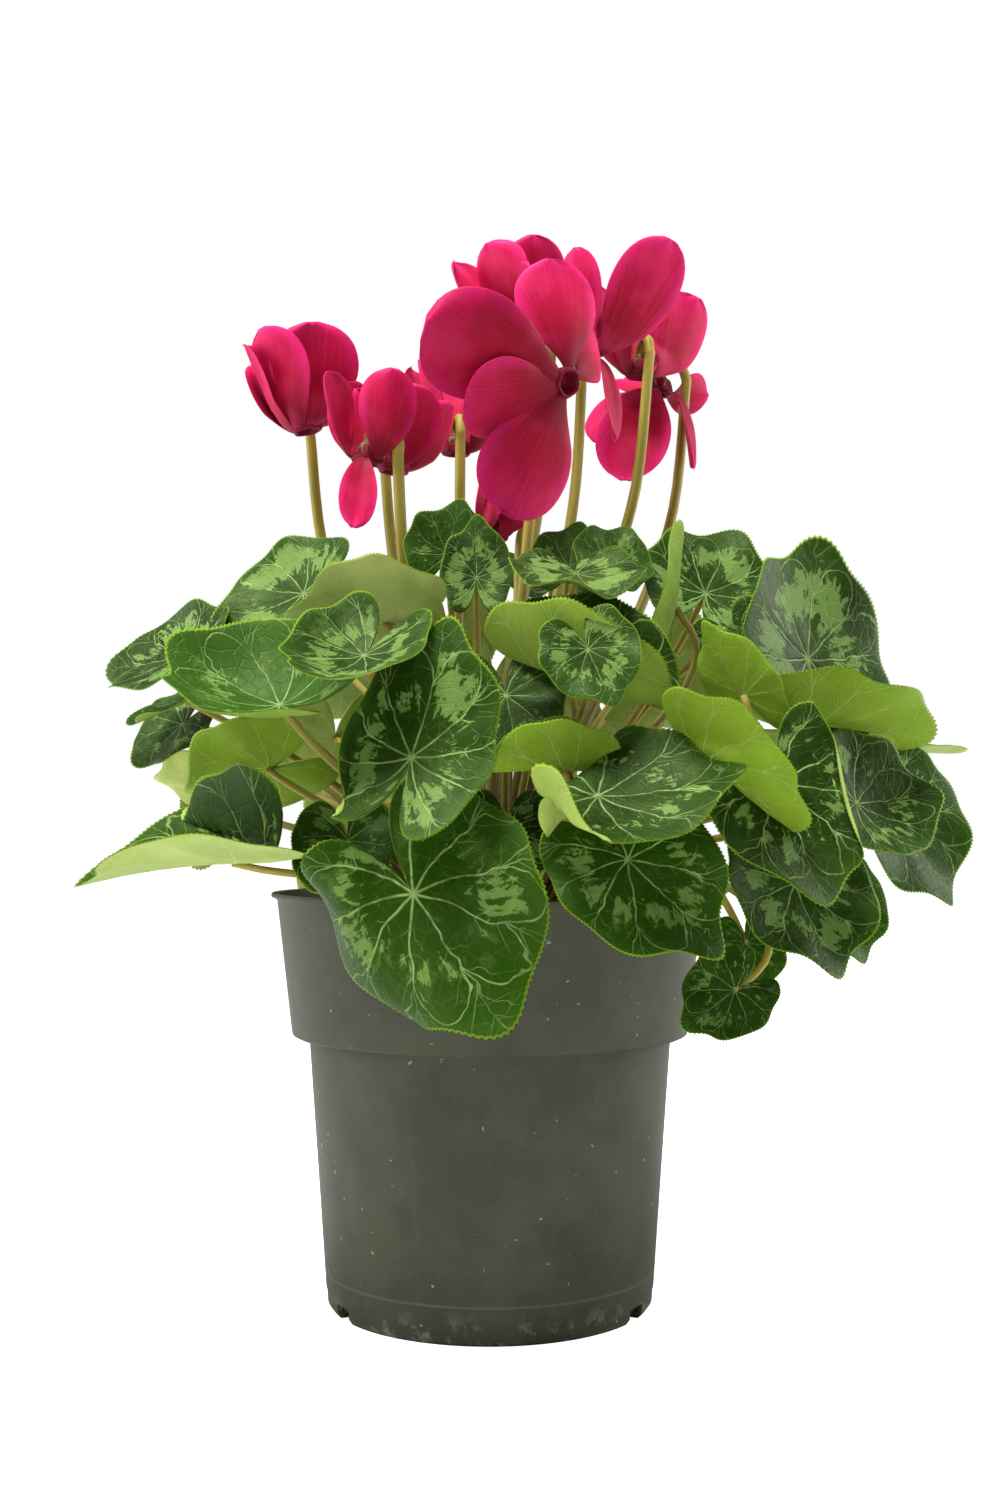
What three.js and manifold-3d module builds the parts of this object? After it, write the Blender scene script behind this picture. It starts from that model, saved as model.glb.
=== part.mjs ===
// Potted cyclamen: pot, soil, corm, leaves on their stalks and nodding flowers.
// Millimetres, +Z up. The origin is the middle of the pot's underside, and -Y is the front.
import * as THREE from "three";
import { mergeVertices } from "three/addons/utils/BufferGeometryUtils.js";
import Module from "manifold-3d";

const wasm = await Module();
wasm.setup();

// Driving dimensions: the pot
const POT_HEIGHT = 129.5;
const LIP_RADIUS = 70;
const BAND_TOP_RADIUS = 68;
const BAND_FOOT_RADIUS = 63.3;
const BAND_FOOT_HEIGHT = 85;
const BODY_TOP_RADIUS = 57.7;
const BASE_RADIUS = 51.4;
const POT_WALL = 1.6;
const POT_FLOOR = 2;
const POT_SIDES = 28;
const SLOT_AZIMUTHS = [-60, 60, 180];
const SLOT_WIDTH = 8;
const SLOT_HEIGHT = 4.5;

// Driving dimensions: soil and corm
const SEAT_GAP = 0.3;
const SOIL_TOP = 115;
const CORM_RADIUS = 31;
const CORM_MIDDLE = 111;
const CORM_RISE = 17;
const CORM_DEPTH = 14;
const CORM_SIDES = 14;
const CORM_STEPS = 6;
const ROOT_SPACING = 6.2;
const ROOT_LIMIT = 27.5;
const ROOT_DEPTH = 3.5;

// Driving dimensions: leaves. A ring is its share of the reach, and how many
// times fewer points it has than the rim. Small leaves have fewer rim points.
const BLADE_THICKNESS = 0.8;
const BLADE_RINGS = [[1, 1], [0.52, 2]];
const ROLLED_RINGS = [[1, 1], [0.8, 1], [0.56, 2], [0.26, 4]];
const SMALL_LEAF = 32;
const SMALL_RIM_POINTS = 12;
const RIM_POINTS = 16;
const TOOTH_DEPTH = 0.045;
const LEAF_STALK_RADIUS = 1.5;
const LEAF_STALK_TIP_RADIUS = 0.9;
const LEAF_STALK_SIDES = 4;
const LEAF_STALK_STEPS = 3;

// Driving dimensions: flowers
const PETAL_THICKNESS = 0.8;
const PETAL_STEPS = 3;
const PETAL_COLUMNS = 2;
const THROAT_RADIUS = 5;
const THROAT_DEPTH = 6;
const THROAT_WALL = 1.6;
const THROAT_SIDES = 6;
const FLOWER_STALK_RADIUS = 2;
const FLOWER_STALK_SIDES = 4;
const FLOWER_STALK_STEPS = 5;

// The hook of a flower stalk: distance from the flower's axis and height over its mouth
const HOOK_FOOT = [9.5, 1];
const HOOK = [[9.2, 7], [6.5, 11.5], [2.5, 11.8], [0, 9.5]];
const STRAIGHT_FOOT = [0, 14];

const rad = THREE.MathUtils.degToRad;
const vec = (x, y, z) => new THREE.Vector3(x, y, z);

// Leaves, by hand: at is the junction of blade and stalk; face is the azimuth (0 front, 90 right)
// and the elevation of the upper side; tip turns the tip from downhill to the right; size is the
// reach of the tip; form is cup, fold along the midrib, lift of the lobes and droop of the tip;
// wave is the count, depth and start of the rim's waves; rolls are direction, offset, radius, angle;
// breadth narrows the outline. Leaves in one inner list share a node.
const LEAVES = {
  left: [
    [
      {
        at: [-20, -90, 132], face: [-8, 12], tip: 36, size: 46, form: [0.05, -0.1, 0, 0.1], wave: [5, 0.05, 1],
        rolls: [[90, 0.25, 0.3, -60]],
      },
    ],
    [
      {
        at: [-21, -85, 169], face: [-12, 20], tip: 168, size: 42, form: [0.1, 0.1, 0.5, 0], wave: [4, 0.04, 0],
        breadth: 0.78, rolls: [[-90, 0.3, 0.15, 60]],
      },
      { at: [-40, -66, 146], face: [-15, 12], tip: 10, size: 21, form: [0.35, 0.1, 0, 0], wave: [7, 0.12, 0] },
    ],
    [
      {
        at: [-35, -74, 198], face: [-5, 50], tip: -25, size: 31, form: [0.5, 0.1, 0, 0], wave: [5, 0.04, 0],
        breadth: 0.85,
      },
    ],
    [{ at: [-60, -62, 185], face: [-10, 56], tip: -112, size: 38, form: [0.45, 0.2, 0, 0], wave: [5, 0.04, 0] }],
    [{ at: [-68, -28, 168], face: [185, 50], tip: 60, size: 30, form: [0.1, 0.1, 0, 0], wave: [5, 0.06, 0] }],
    [
      { at: [-98, -15, 204], face: [-40, 45], tip: -75, size: 29, form: [0.1, 0.2, 0, 0], wave: [5, 0.05, 0] },
      { at: [-98, -2, 191], face: [-60, 60], tip: -40, size: 22, form: [0.1, 0.1, 0, 0], wave: [5, 0.05, 0] },
    ],
    [{ at: [-59, -14, 224], face: [-25, 35], tip: -60, size: 32, form: [0.1, 0.1, 0, 0], wave: [5, 0.05, 0] }],
    [{ at: [-31, -44, 211], face: [180, 50], tip: 90, size: 31, form: [0.1, 0.1, 0, 0], wave: [4, 0.05, 0] }],
    [
      { at: [-13, -27, 235], face: [-10, 15], tip: 170, size: 18, form: [0.1, 0.3, 0, 0], wave: [5, 0.06, 0] },
      {
        at: [-4, -36, 226], face: [0, 15], tip: 180, size: 20, form: [0.1, 0.1, 0, 0], wave: [5, 0.05, 0],
        breadth: 0.75,
      },
    ],
    [
      {
        at: [-74, -58, 140], face: [-20, 78], tip: -80, size: 48, form: [0, 0.45, 0, 0.1], wave: [3, 0.04, 0],
        rolls: [[135, 0.12, 0.12, 75]], arrive: [0.3, 0.95],
      },
    ],
    [
      { at: [-102, 12, 184], face: [-30, 35], tip: -30, size: 21, form: [0.1, 0.1, 0, 0], wave: [5, 0.05, 0] },
      { at: [-96, 16, 165], face: [165, 45], tip: 90, size: 18, form: [0.1, 0.1, 0, 0], wave: [5, 0.05, 0] },
    ],
  ],
  right: [
    [{ at: [26, -47, 225], face: [5, 65], tip: 5, size: 28, form: [0.1, 0.1, 0.1, 0], wave: [5, 0.08, 0] }],
    [
      { at: [25, -16, 232], face: [0, 30], tip: 170, size: 18, form: [0.1, 0.1, 0, 0], wave: [5, 0.06, 0] },
      { at: [38, -18, 233], face: [20, 35], tip: 150, size: 18, form: [0.1, 0.1, 0, 0], wave: [5, 0.06, 0] },
    ],
    [{ at: [56, -40, 216], face: [-100, 10], tip: 160, size: 27, form: [0.1, 0.1, 0, 0], wave: [5, 0.04, 0] }],
    [
      { at: [69, -8, 225], face: [15, 35], tip: 150, size: 31, form: [0.1, 0.1, 0, 0], wave: [5, 0.05, 0] },
      { at: [80, -18, 206], face: [10, 20], tip: 30, size: 25, form: [0.1, 0.1, 0, 0], wave: [5, 0.05, 0] },
    ],
    [
      { at: [96, -38, 201], face: [35, 12], tip: 165, size: 40, form: [0.1, 0.1, 0, 0], wave: [4, 0.06, 0] },
      {
        at: [97, -38, 179], face: [180, 70], tip: -80, size: 41, form: [0.05, 0.2, 0, 0], wave: [4, 0.06, 0],
        arrive: [0.9, 0.3], reach: [0.3, 0.2],
      },
    ],
    [{ at: [123, 9, 176], face: [90, 86], tip: 0, size: 34, form: [0.05, 0.05, 0, 0], wave: [5, 0.02, 0] }],
    [
      {
        at: [22, -66, 193], face: [48, 68], tip: 28, size: 41, form: [0, 0, 0, 0], wave: [4, 0.03, 0],
        rolls: [[90, 0.02, 0.15, 60], [-90, 0.02, 0.15, 64]],
      },
      { at: [27, -90, 198], face: [0, 20], tip: 20, size: 19, form: [0.1, 0.1, 0, 0], wave: [5, 0.05, 0] },
      { at: [5, -60, 188], face: [-5, 25], tip: 10, size: 24, form: [0.1, 0.1, 0, 0], wave: [5, 0.05, 0] },
    ],
    [
      {
        at: [21, -81, 166], face: [0, 80], tip: -90, size: 26, form: [0, 0, 0, 0], wave: [5, 0.04, 0],
        rolls: [[-90, 0.05, 0.15, 70], [90, 0.05, 0.15, 50]],
      },
      {
        at: [29, -100, 158], face: [5, 50], tip: 88, size: 40, form: [0.3, 0, 0, 0], wave: [5, 0.04, 0],
        breadth: 0.85, rolls: [[150, 0.3, 0.12, 70], [-135, 0.14, 0.12, -110]],
      },
      {
        at: [38, -86, 141], face: [0, 20], tip: 42, size: 36, form: [0.05, 0.1, 0, 0.1], wave: [5, 0.07, 0],
        breadth: 0.85,
      },
      { at: [5, -70, 149], face: [0, 20], tip: 0, size: 20, form: [0.1, 0.1, 0, 0], wave: [5, 0.05, 0] },
    ],
    [
      {
        at: [59, -86, 168], face: [135, 40], tip: -38, size: 33, form: [0.1, 0, 0, 0], wave: [5, 0.03, 0],
        arrive: [0.3, 0.3], reach: [0.4, 0.05],
      },
      {
        at: [81, -78, 162], face: [20, 22], tip: 5, size: 38, form: [0.1, 0.1, 0, 0], wave: [4, 0.04, 0],
        rolls: [[-90, 0.4, 0.14, 120]],
      },
    ],
    [
      {
        at: [73, -64, 188], face: [150, 20], tip: 155, size: 24, form: [0.1, 0.1, 0, 0], wave: [5, 0.04, 0],
        breadth: 0.65, arrive: [0.2, 1], reach: [0.6, 0.35],
      },
    ],
    [
      { at: [107, -54, 157], face: [35, 30], tip: 90, size: 29, form: [0.3, 0.1, 0, 0], wave: [5, 0.04, 0] },
      { at: [127, -25, 154], face: [35, 15], tip: 20, size: 32, form: [0.1, 0.1, 0, 0], wave: [5, 0.05, 0] },
    ],
    [
      { at: [86, -70, 134], face: [20, 30], tip: 5, size: 31, form: [0.1, 0.1, 0, 0], wave: [5, 0.05, 0] },
      { at: [102, -53, 129], face: [25, 15], tip: 10, size: 20, form: [0.1, 0.1, 0, 0], wave: [5, 0.05, 0] },
    ],
    [
      {
        at: [68, -78, 105], face: [-20, 20], tip: -50, size: 18, form: [0.1, 0.1, 0, 0], wave: [5, 0.05, 0],
        arrive: [0.3, 1], reach: [0.75, 0.5],
      },
      {
        at: [73, -66, 117], face: [15, 15], tip: 10, size: 15, form: [0.1, 0.1, 0, 0], wave: [5, 0.05, 0],
        arrive: [0.3, 1], reach: [0.75, 0.5],
      },
    ],
  ],
  back: [
    [{ at: [22, 60, 238], face: [10, 60], tip: 170, size: 30, form: [0.1, 0.1, 0, 0], wave: [5, 0.05, 0] }],
    [
      { at: [-58, 50, 207], face: [215, 45], tip: 0, size: 38, form: [0.1, 0.1, 0, 0.1], wave: [5, 0.06, 0] },
      { at: [-54, 38, 181], face: [195, 40], tip: 0, size: 30, form: [0.1, 0.1, 0, 0], wave: [5, 0.05, 1] },
    ],
    [
      { at: [0, 74, 203], face: [180, 45], tip: 10, size: 38, form: [0.1, 0.1, 0, 0.1], wave: [5, 0.06, 1] },
      { at: [-16, 56, 222], face: [185, 35], tip: 0, size: 29, form: [0.1, 0.1, 0, 0], wave: [5, 0.05, 2] },
    ],
    [
      { at: [60, 52, 207], face: [145, 45], tip: 0, size: 38, form: [0.1, 0.1, 0, 0.1], wave: [5, 0.06, 2] },
      { at: [40, 52, 188], face: [170, 40], tip: 0, size: 28, form: [0.1, 0.1, 0, 0], wave: [5, 0.05, 3] },
    ],
    [{ at: [-90, 54, 164], face: [245, 30], tip: 0, size: 34, form: [0.1, 0.1, 0, 0.1], wave: [5, 0.06, 3] }],
    [{ at: [-42, 94, 160], face: [205, 30], tip: -10, size: 38, form: [0.1, 0.1, 0, 0.1], wave: [5, 0.06, 4] }],
    [{ at: [34, 100, 160], face: [165, 30], tip: 10, size: 38, form: [0.1, 0.1, 0, 0.1], wave: [5, 0.06, 5] }],
    [{ at: [98, 60, 163], face: [125, 30], tip: 0, size: 36, form: [0.1, 0.1, 0, 0.1], wave: [5, 0.06, 0] }],
    [{ at: [-50, 84, 134], face: [215, 20], tip: 0, size: 30, form: [0.1, 0.1, 0, 0.1], wave: [5, 0.06, 1] }],
    [{ at: [2, 94, 130], face: [178, 20], tip: 0, size: 32, form: [0.1, 0.1, 0, 0.1], wave: [5, 0.06, 2] }],
    [{ at: [54, 82, 134], face: [150, 20], tip: 0, size: 30, form: [0.1, 0.1, 0, 0.1], wave: [5, 0.06, 3] }],
  ],
};

// Flowers, by hand: at is the mouth; lean is the azimuth and the angle by which the petals lean from
// upright; side is the azimuth at which the stalk stands; a petal is its azimuth round the mouth
// from the stalk's side, its opening from the flower's axis at base and tip, twist, length and width.
const FLOWERS = [
  {
    at: [-61, 12, 282], lean: [-90, 12], side: 180,
    petals: [[66, 80, 8, 20, 30, 20], [108, 80, 8, 20, 34, 28], [152, 80, 10, 20, 36, 30],
      [214, 80, 14, 20, 35, 30], [272, 80, 60, 20, 21, 18]],
  },
  {
    at: [-38, -26, 263], lean: [90, 5], side: 90,
    petals: [[66, 80, 10, 20, 28, 18], [124, 80, 10, 20, 28, 18], [180, 80, 10, 20, 30, 20],
      [265, 90, 168, 20, 27, 12], [306, 80, 0, 20, 30, 18]],
  },
  {
    at: [-32, 6, 267], lean: [90, 5], side: 200,
    petals: [[58, 80, 10, 20, 28, 18], [118, 80, 15, 20, 28, 18], [180, 90, 20, 20, 30, 20],
      [242, 90, 20, 20, 28, 20], [302, 80, 10, 20, 28, 18]],
  },
  {
    at: [-12, 34, 279], lean: [20, 5], side: 10,
    petals: [[58, 90, 15, 20, 34, 22], [118, 80, 15, 20, 32, 22], [180, 80, 15, 20, 34, 22],
      [242, 80, 15, 20, 34, 22], [302, 80, 15, 20, 34, 22]],
  },
  {
    at: [1, 42, 252], lean: [90, 20], side: 90,
    petals: [[58, 80, 10, 20, 20, 12], [118, 80, 10, 20, 20, 12], [180, 80, 10, 20, 22, 12],
      [242, 80, 10, 20, 22, 12], [302, 80, 10, 20, 20, 12]],
  },
  {
    at: [25, -24, 289], lean: [-135, 72], side: -45, arrive: [0.05, 0.9, -0.4],
    petals: [[6, 90, 66, 15, 48, 34], [82, 90, 62, 15, 36, 28], [138, 90, 58, 15, 24, 20],
      [283, 90, 85, -15, 42, 34], [334, 90, 74, 15, 34, 28]],
  },
  {
    at: [12, 34, 320], lean: [-90, 10], side: 90,
    petals: [[58, 80, 10, 20, 32, 20], [118, 80, 10, 20, 32, 20], [194, 80, 22, 50, 34, 26],
      [242, 80, 10, 20, 34, 24], [302, 80, 10, 20, 34, 22]],
  },
  {
    at: [31, 9, 305], lean: [90, 2], side: 180,
    petals: [[60, 80, 12, 20, 34, 18], [108, 80, 22, 20, 36, 22], [165, 80, 12, 20, 36, 18],
      [220, 90, 170, 20, 34, 12], [238, 80, 30, 35, 46, 24]],
  },
  {
    at: [51, 29, 305], lean: [90, 5], side: 15,
    petals: [[80, 80, 14, 55, 34, 26], [125, 80, 16, 40, 34, 28], [180, 80, 15, 20, 34, 24],
      [236, 80, 12, 20, 36, 24], [290, 80, 8, 20, 32, 22]],
  },
  {
    at: [60, 52, 305], lean: [90, 5], side: 90,
    petals: [[35, 90, 75, 60, 20, 16], [118, 90, 60, 20, 24, 20], [190, 90, 150, 40, 28, 20],
      [240, 90, 168, 20, 42, 26], [315, 90, 165, 20, 34, 14]],
  },
];

const materials = {
  pot: new THREE.MeshStandardMaterial({ color: 0x474a42, roughness: 0.62, metalness: 0 }),
  soil: new THREE.MeshStandardMaterial({ color: 0x3a291c, roughness: 0.95, metalness: 0 }),
  corm: new THREE.MeshStandardMaterial({ color: 0x6b4a33, roughness: 0.85, metalness: 0 }),
  leaf: new THREE.MeshStandardMaterial({ color: 0x2c6326, roughness: 0.5, metalness: 0 }),
  petal: new THREE.MeshStandardMaterial({ color: 0xd0205f, roughness: 0.55, metalness: 0 }),
  stalk: new THREE.MeshStandardMaterial({ color: 0xa08f4c, roughness: 0.5, metalness: 0 }),
};

// Solids from points and triangles, and from turned profiles

function solidFrom(points, triangles) {
  const vertProperties = new Float32Array(points.flatMap((p) => [p.x, p.y, p.z]));
  const triVerts = new Uint32Array(triangles.flat());
  return new wasm.Manifold(new wasm.Mesh({ numProp: 3, vertProperties, triVerts }));
}

function solidFromGeometry(geometry) {
  const bare = geometry.clone();
  bare.deleteAttribute("normal");
  bare.deleteAttribute("uv");
  const merged = mergeVertices(bare, 1e-4);
  const vertProperties = new Float32Array(merged.attributes.position.array);
  const triVerts = new Uint32Array(merged.index.array);
  return new wasm.Manifold(new wasm.Mesh({ numProp: 3, vertProperties, triVerts }));
}

// A profile of [radius, height] points turned round the Z axis
function turned(profile, sides) {
  const points = profile.map(([radius, height]) => new THREE.Vector2(radius, height));
  const geometry = new THREE.LatheGeometry(points, sides);
  geometry.rotateX(Math.PI / 2);
  return geometry;
}

function meshFrom(name, solid, material) {
  const { vertProperties, triVerts } = solid.getMesh();
  const geometry = new THREE.BufferGeometry();
  geometry.setAttribute("position", new THREE.BufferAttribute(new Float32Array(vertProperties), 3));
  geometry.setIndex(new THREE.BufferAttribute(new Uint32Array(triVerts), 1));
  geometry.computeVertexNormals();
  const mesh = new THREE.Mesh(geometry, material);
  mesh.name = name;
  return mesh;
}

// A tube with flat ends along a list of points, its radius given at each of them
function tube(path, radii, sides) {
  const points = [];
  const triangles = [];
  let across = vec(0, 0, 1);
  path.forEach((centre, i) => {
    const before = path[Math.max(i - 1, 0)];
    const after = path[Math.min(i + 1, path.length - 1)];
    const along = after.clone().sub(before).normalize();
    if (i === 0 && Math.abs(along.z) > 0.9) {
      across = vec(1, 0, 0);
    }
    across = across.clone().addScaledVector(along, -across.dot(along)).normalize();
    const third = along.clone().cross(across);
    for (let side = 0; side < sides; side += 1) {
      const turn = (side / sides) * 2 * Math.PI;
      const point = centre.clone();
      point.addScaledVector(across, radii[i] * Math.cos(turn));
      point.addScaledVector(third, radii[i] * Math.sin(turn));
      points.push(point);
    }
  });
  const last = (path.length - 1) * sides;
  for (let side = 0; side < sides; side += 1) {
    const next = (side + 1) % sides;
    for (let ring = 0; ring < last; ring += sides) {
      triangles.push([ring + side, ring + next, ring + sides + next]);
      triangles.push([ring + side, ring + sides + next, ring + sides + side]);
    }
  }
  for (let side = 1; side < sides - 1; side += 1) {
    triangles.push([0, side + 1, side]);
    triangles.push([last, last + side, last + side + 1]);
  }
  return solidFrom(points, triangles);
}

// Pot, soil and corm

function makePot() {
  const outer = [
    [0, 0],
    [BASE_RADIUS - 1.5, 0],
    [BASE_RADIUS, 2],
    [BODY_TOP_RADIUS, BAND_FOOT_HEIGHT - 0.8],
    [BAND_FOOT_RADIUS - 1.4, BAND_FOOT_HEIGHT - 0.8],
    [BAND_FOOT_RADIUS, BAND_FOOT_HEIGHT + 1.2],
    [BAND_TOP_RADIUS, POT_HEIGHT - 3],
    [LIP_RADIUS, POT_HEIGHT - 0.8],
    [LIP_RADIUS, POT_HEIGHT],
    [BAND_TOP_RADIUS, POT_HEIGHT - 0.4],
  ];
  const inner = [
    [BAND_TOP_RADIUS - POT_WALL, POT_HEIGHT - 3],
    [BAND_FOOT_RADIUS - POT_WALL, BAND_FOOT_HEIGHT + 1.2],
    [BODY_TOP_RADIUS - POT_WALL, BAND_FOOT_HEIGHT + 0.8],
    [BASE_RADIUS - POT_WALL, POT_FLOOR],
    [0, POT_FLOOR],
  ];
  let pot = solidFromGeometry(turned([...outer, ...inner], POT_SIDES));
  for (const azimuth of SLOT_AZIMUTHS) {
    const slot = new THREE.BoxGeometry(SLOT_WIDTH, 12, 2 * SLOT_HEIGHT);
    slot.translate(0, -(BASE_RADIUS - 3), 0);
    slot.rotateZ(rad(azimuth));
    pot = pot.subtract(solidFromGeometry(slot));
  }
  return pot;
}

function cormProfile(grow) {
  const profile = [];
  for (let i = 0; i <= CORM_STEPS; i += 1) {
    const angle = -Math.PI / 2 + (i / CORM_STEPS) * Math.PI;
    const rise = angle < 0 ? CORM_DEPTH : CORM_RISE;
    const radius = i === 0 || i === CORM_STEPS ? 0 : (CORM_RADIUS + grow) * Math.cos(angle);
    profile.push([radius, CORM_MIDDLE + (rise + grow) * Math.sin(angle)]);
  }
  return profile;
}

function makeSoil() {
  const bandFoot = BAND_FOOT_HEIGHT + 1.2;
  const bandLean = (BAND_TOP_RADIUS - BAND_FOOT_RADIUS) / (POT_HEIGHT - 3 - bandFoot);
  const topRadius = BAND_FOOT_RADIUS - POT_WALL + bandLean * (SOIL_TOP - bandFoot);
  const block = solidFromGeometry(turned([
    [0, POT_FLOOR + SEAT_GAP],
    [BASE_RADIUS - POT_WALL - SEAT_GAP, POT_FLOOR + SEAT_GAP],
    [BODY_TOP_RADIUS - POT_WALL - SEAT_GAP, BAND_FOOT_HEIGHT + 0.8],
    [BODY_TOP_RADIUS - POT_WALL - SEAT_GAP, bandFoot + SEAT_GAP],
    [BAND_FOOT_RADIUS - POT_WALL - SEAT_GAP, bandFoot + SEAT_GAP],
    [topRadius - SEAT_GAP, SOIL_TOP - 1],
    [52, SOIL_TOP + 0.5],
    [42, SOIL_TOP - 0.5],
    [36, SOIL_TOP + 1],
    [0, SOIL_TOP + 1],
  ], POT_SIDES));
  const seat = solidFromGeometry(turned(cormProfile(SEAT_GAP), CORM_SIDES));
  return block.subtract(seat);
}

// The corm's outward direction at a point of its upper side
function cormNormal(x, y) {
  const height = cormHeight(x, y);
  return vec(x / CORM_RADIUS ** 2, y / CORM_RADIUS ** 2, height / CORM_RISE ** 2).normalize();
}

function cormHeight(x, y) {
  return CORM_RISE * Math.sqrt(1 - (x * x + y * y) / CORM_RADIUS ** 2);
}

// Each stalk leaves the corm on the side of what it carries; near neighbours push each other apart
function spreadRoots(targets) {
  const roots = targets.map(([x, y, z]) => {
    const level = Math.hypot(x, y);
    const reach = ROOT_LIMIT * Math.min(Math.atan2(level, z - CORM_MIDDLE - CORM_RISE) / rad(85), 1);
    return new THREE.Vector2(x, y).multiplyScalar(reach / level);
  });
  for (let round = 0; round < 200; round += 1) {
    for (let i = 0; i < roots.length; i += 1) {
      for (let j = 0; j < i; j += 1) {
        const apart = roots[i].clone().sub(roots[j]);
        const short = ROOT_SPACING - apart.length();
        if (short > 0) {
          apart.setLength(short / 2);
          roots[i].add(apart);
          roots[j].sub(apart);
        }
      }
    }
    roots.forEach((root) => root.clampLength(0, ROOT_LIMIT));
  }
  return roots;
}

// Leaf blade: heart-shaped outline, height over its plane, rolls, and its place in the world

function outlineRadius(theta) {
  const away = Math.abs(theta);
  const heart = 0.76 + 0.06 * Math.cos(away) + 0.02 * Math.cos(2 * away)
    + 0.14 * Math.exp(-((away / 0.24) ** 2)) + 0.02 * Math.cos(8 * away);
  const notch = 1 - 0.9 * Math.exp(-(((Math.PI - away) / 0.26) ** 2));
  return heart * notch;
}

// Rolls what lies past a line across the blade round a cylinder, towards the upper side if angle > 0
function rollBlade(point, [direction, offset, radius, angle]) {
  const nx = Math.sin(rad(direction));
  const ny = Math.cos(rad(direction));
  const past = point.x * nx + point.y * ny - offset;
  if (past <= 0) {
    return;
  }
  const sign = Math.sign(angle);
  const turn = Math.min(past / radius, rad(Math.abs(angle)));
  const rest = past - radius * turn;
  const lift = point.z * sign;
  const along = radius * Math.sin(turn) + rest * Math.cos(turn) - lift * Math.sin(turn);
  const high = radius * (1 - Math.cos(turn)) + rest * Math.sin(turn) + lift * Math.cos(turn);
  point.x += nx * (along - past);
  point.y += ny * (along - past);
  point.z = high * sign;
}

function leafAxes(leaf) {
  const azimuth = rad(leaf.face[0]);
  const elevation = rad(leaf.face[1]);
  const turn = rad(leaf.tip);
  const normal = vec(
    Math.cos(elevation) * Math.sin(azimuth),
    -Math.cos(elevation) * Math.cos(azimuth),
    Math.sin(elevation),
  );
  const right = vec(Math.cos(azimuth), Math.sin(azimuth), 0);
  const downhill = vec(
    Math.sin(elevation) * Math.sin(azimuth),
    -Math.sin(elevation) * Math.cos(azimuth),
    -Math.cos(elevation),
  );
  const tip = downhill.multiplyScalar(Math.cos(turn)).addScaledVector(right, Math.sin(turn));
  const across = tip.clone().cross(normal);
  return { across, tip, normal };
}

// A point of the blade's middle surface, x across and y towards the tip in shares of its size
function bladePoint(leaf, axes, x, y) {
  const [cup, fold, lobes, droop] = leaf.form;
  const [waves, depth, start] = leaf.wave;
  const r = Math.hypot(x, y);
  let z = cup * r * r + fold * (Math.sqrt(x * x + 0.01) - 0.1);
  z += lobes * Math.min(y, 0) ** 2 - droop * Math.max(y, 0) ** 2;
  z += depth * 2 * r ** 3 * Math.sin(waves * Math.atan2(x, y) + start);
  const point = vec(x, y, z);
  for (const roll of leaf.rolls ?? []) {
    rollBlade(point, roll);
  }
  point.multiplyScalar(leaf.size);
  return vec(...leaf.at)
    .addScaledVector(axes.across, point.x)
    .addScaledVector(axes.tip, point.y)
    .addScaledVector(axes.normal, point.z);
}

function bladeNormal(leaf, axes, x, y) {
  const step = 0.01;
  const alongX = bladePoint(leaf, axes, x + step, y).sub(bladePoint(leaf, axes, x - step, y));
  const alongY = bladePoint(leaf, axes, x, y + step).sub(bladePoint(leaf, axes, x, y - step));
  return alongX.cross(alongY).normalize();
}

function makeBlade(leaf) {
  const axes = leafAxes(leaf);
  const rimPoints = leaf.size < SMALL_LEAF ? SMALL_RIM_POINTS : RIM_POINTS;
  const breadth = leaf.breadth ?? 1;
  const plan = [];
  const rings = [];
  (leaf.rolls ? ROLLED_RINGS : BLADE_RINGS).forEach(([share, coarser], ring) => {
    const count = rimPoints / coarser;
    rings.push({ first: plan.length, count });
    for (let i = 0; i < count; i += 1) {
      const theta = (i / count) * 2 * Math.PI - Math.PI;
      const tooth = ring === 0 && i % 2 === 1 ? 1 - TOOTH_DEPTH : 1;
      const radius = share * tooth * outlineRadius(theta);
      plan.push([radius * breadth * Math.sin(theta), radius * Math.cos(theta)]);
    }
  });
  const centre = plan.length;
  plan.push([0, 0]);
  const upper = [];
  const lower = [];
  for (const [x, y] of plan) {
    const middle = bladePoint(leaf, axes, x, y);
    const normal = bladeNormal(leaf, axes, x, y);
    upper.push(middle.clone().addScaledVector(normal, BLADE_THICKNESS / 2));
    lower.push(middle.addScaledVector(normal, -BLADE_THICKNESS / 2));
  }
  const faces = [];
  for (let ring = 0; ring < rings.length - 1; ring += 1) {
    const outer = rings[ring];
    const inner = rings[ring + 1];
    const step = outer.count / inner.count;
    for (let i = 0; i < inner.count; i += 1) {
      const a = outer.first + step * i;
      const b = outer.first + ((step * i + 1) % outer.count);
      const c = outer.first + ((step * i + 2) % outer.count);
      const d = inner.first + i;
      const e = inner.first + ((i + 1) % inner.count);
      faces.push([a, d, b], [b, d, e]);
      if (step === 2) {
        faces.push([b, e, c]);
      }
    }
  }
  const core = rings[rings.length - 1];
  for (let i = 0; i < core.count; i += 1) {
    faces.push([core.first + i, centre, core.first + ((i + 1) % core.count)]);
  }
  const under = upper.length;
  const triangles = [];
  for (const [a, b, c] of faces) {
    triangles.push([a, b, c]);
    triangles.push([under + a, under + c, under + b]);
  }
  for (let i = 0; i < rimPoints; i += 1) {
    const next = (i + 1) % rimPoints;
    triangles.push([i, next, under + next]);
    triangles.push([i, under + next, under + i]);
  }
  return { solid: solidFrom([...upper, ...lower], triangles), axes };
}

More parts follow.
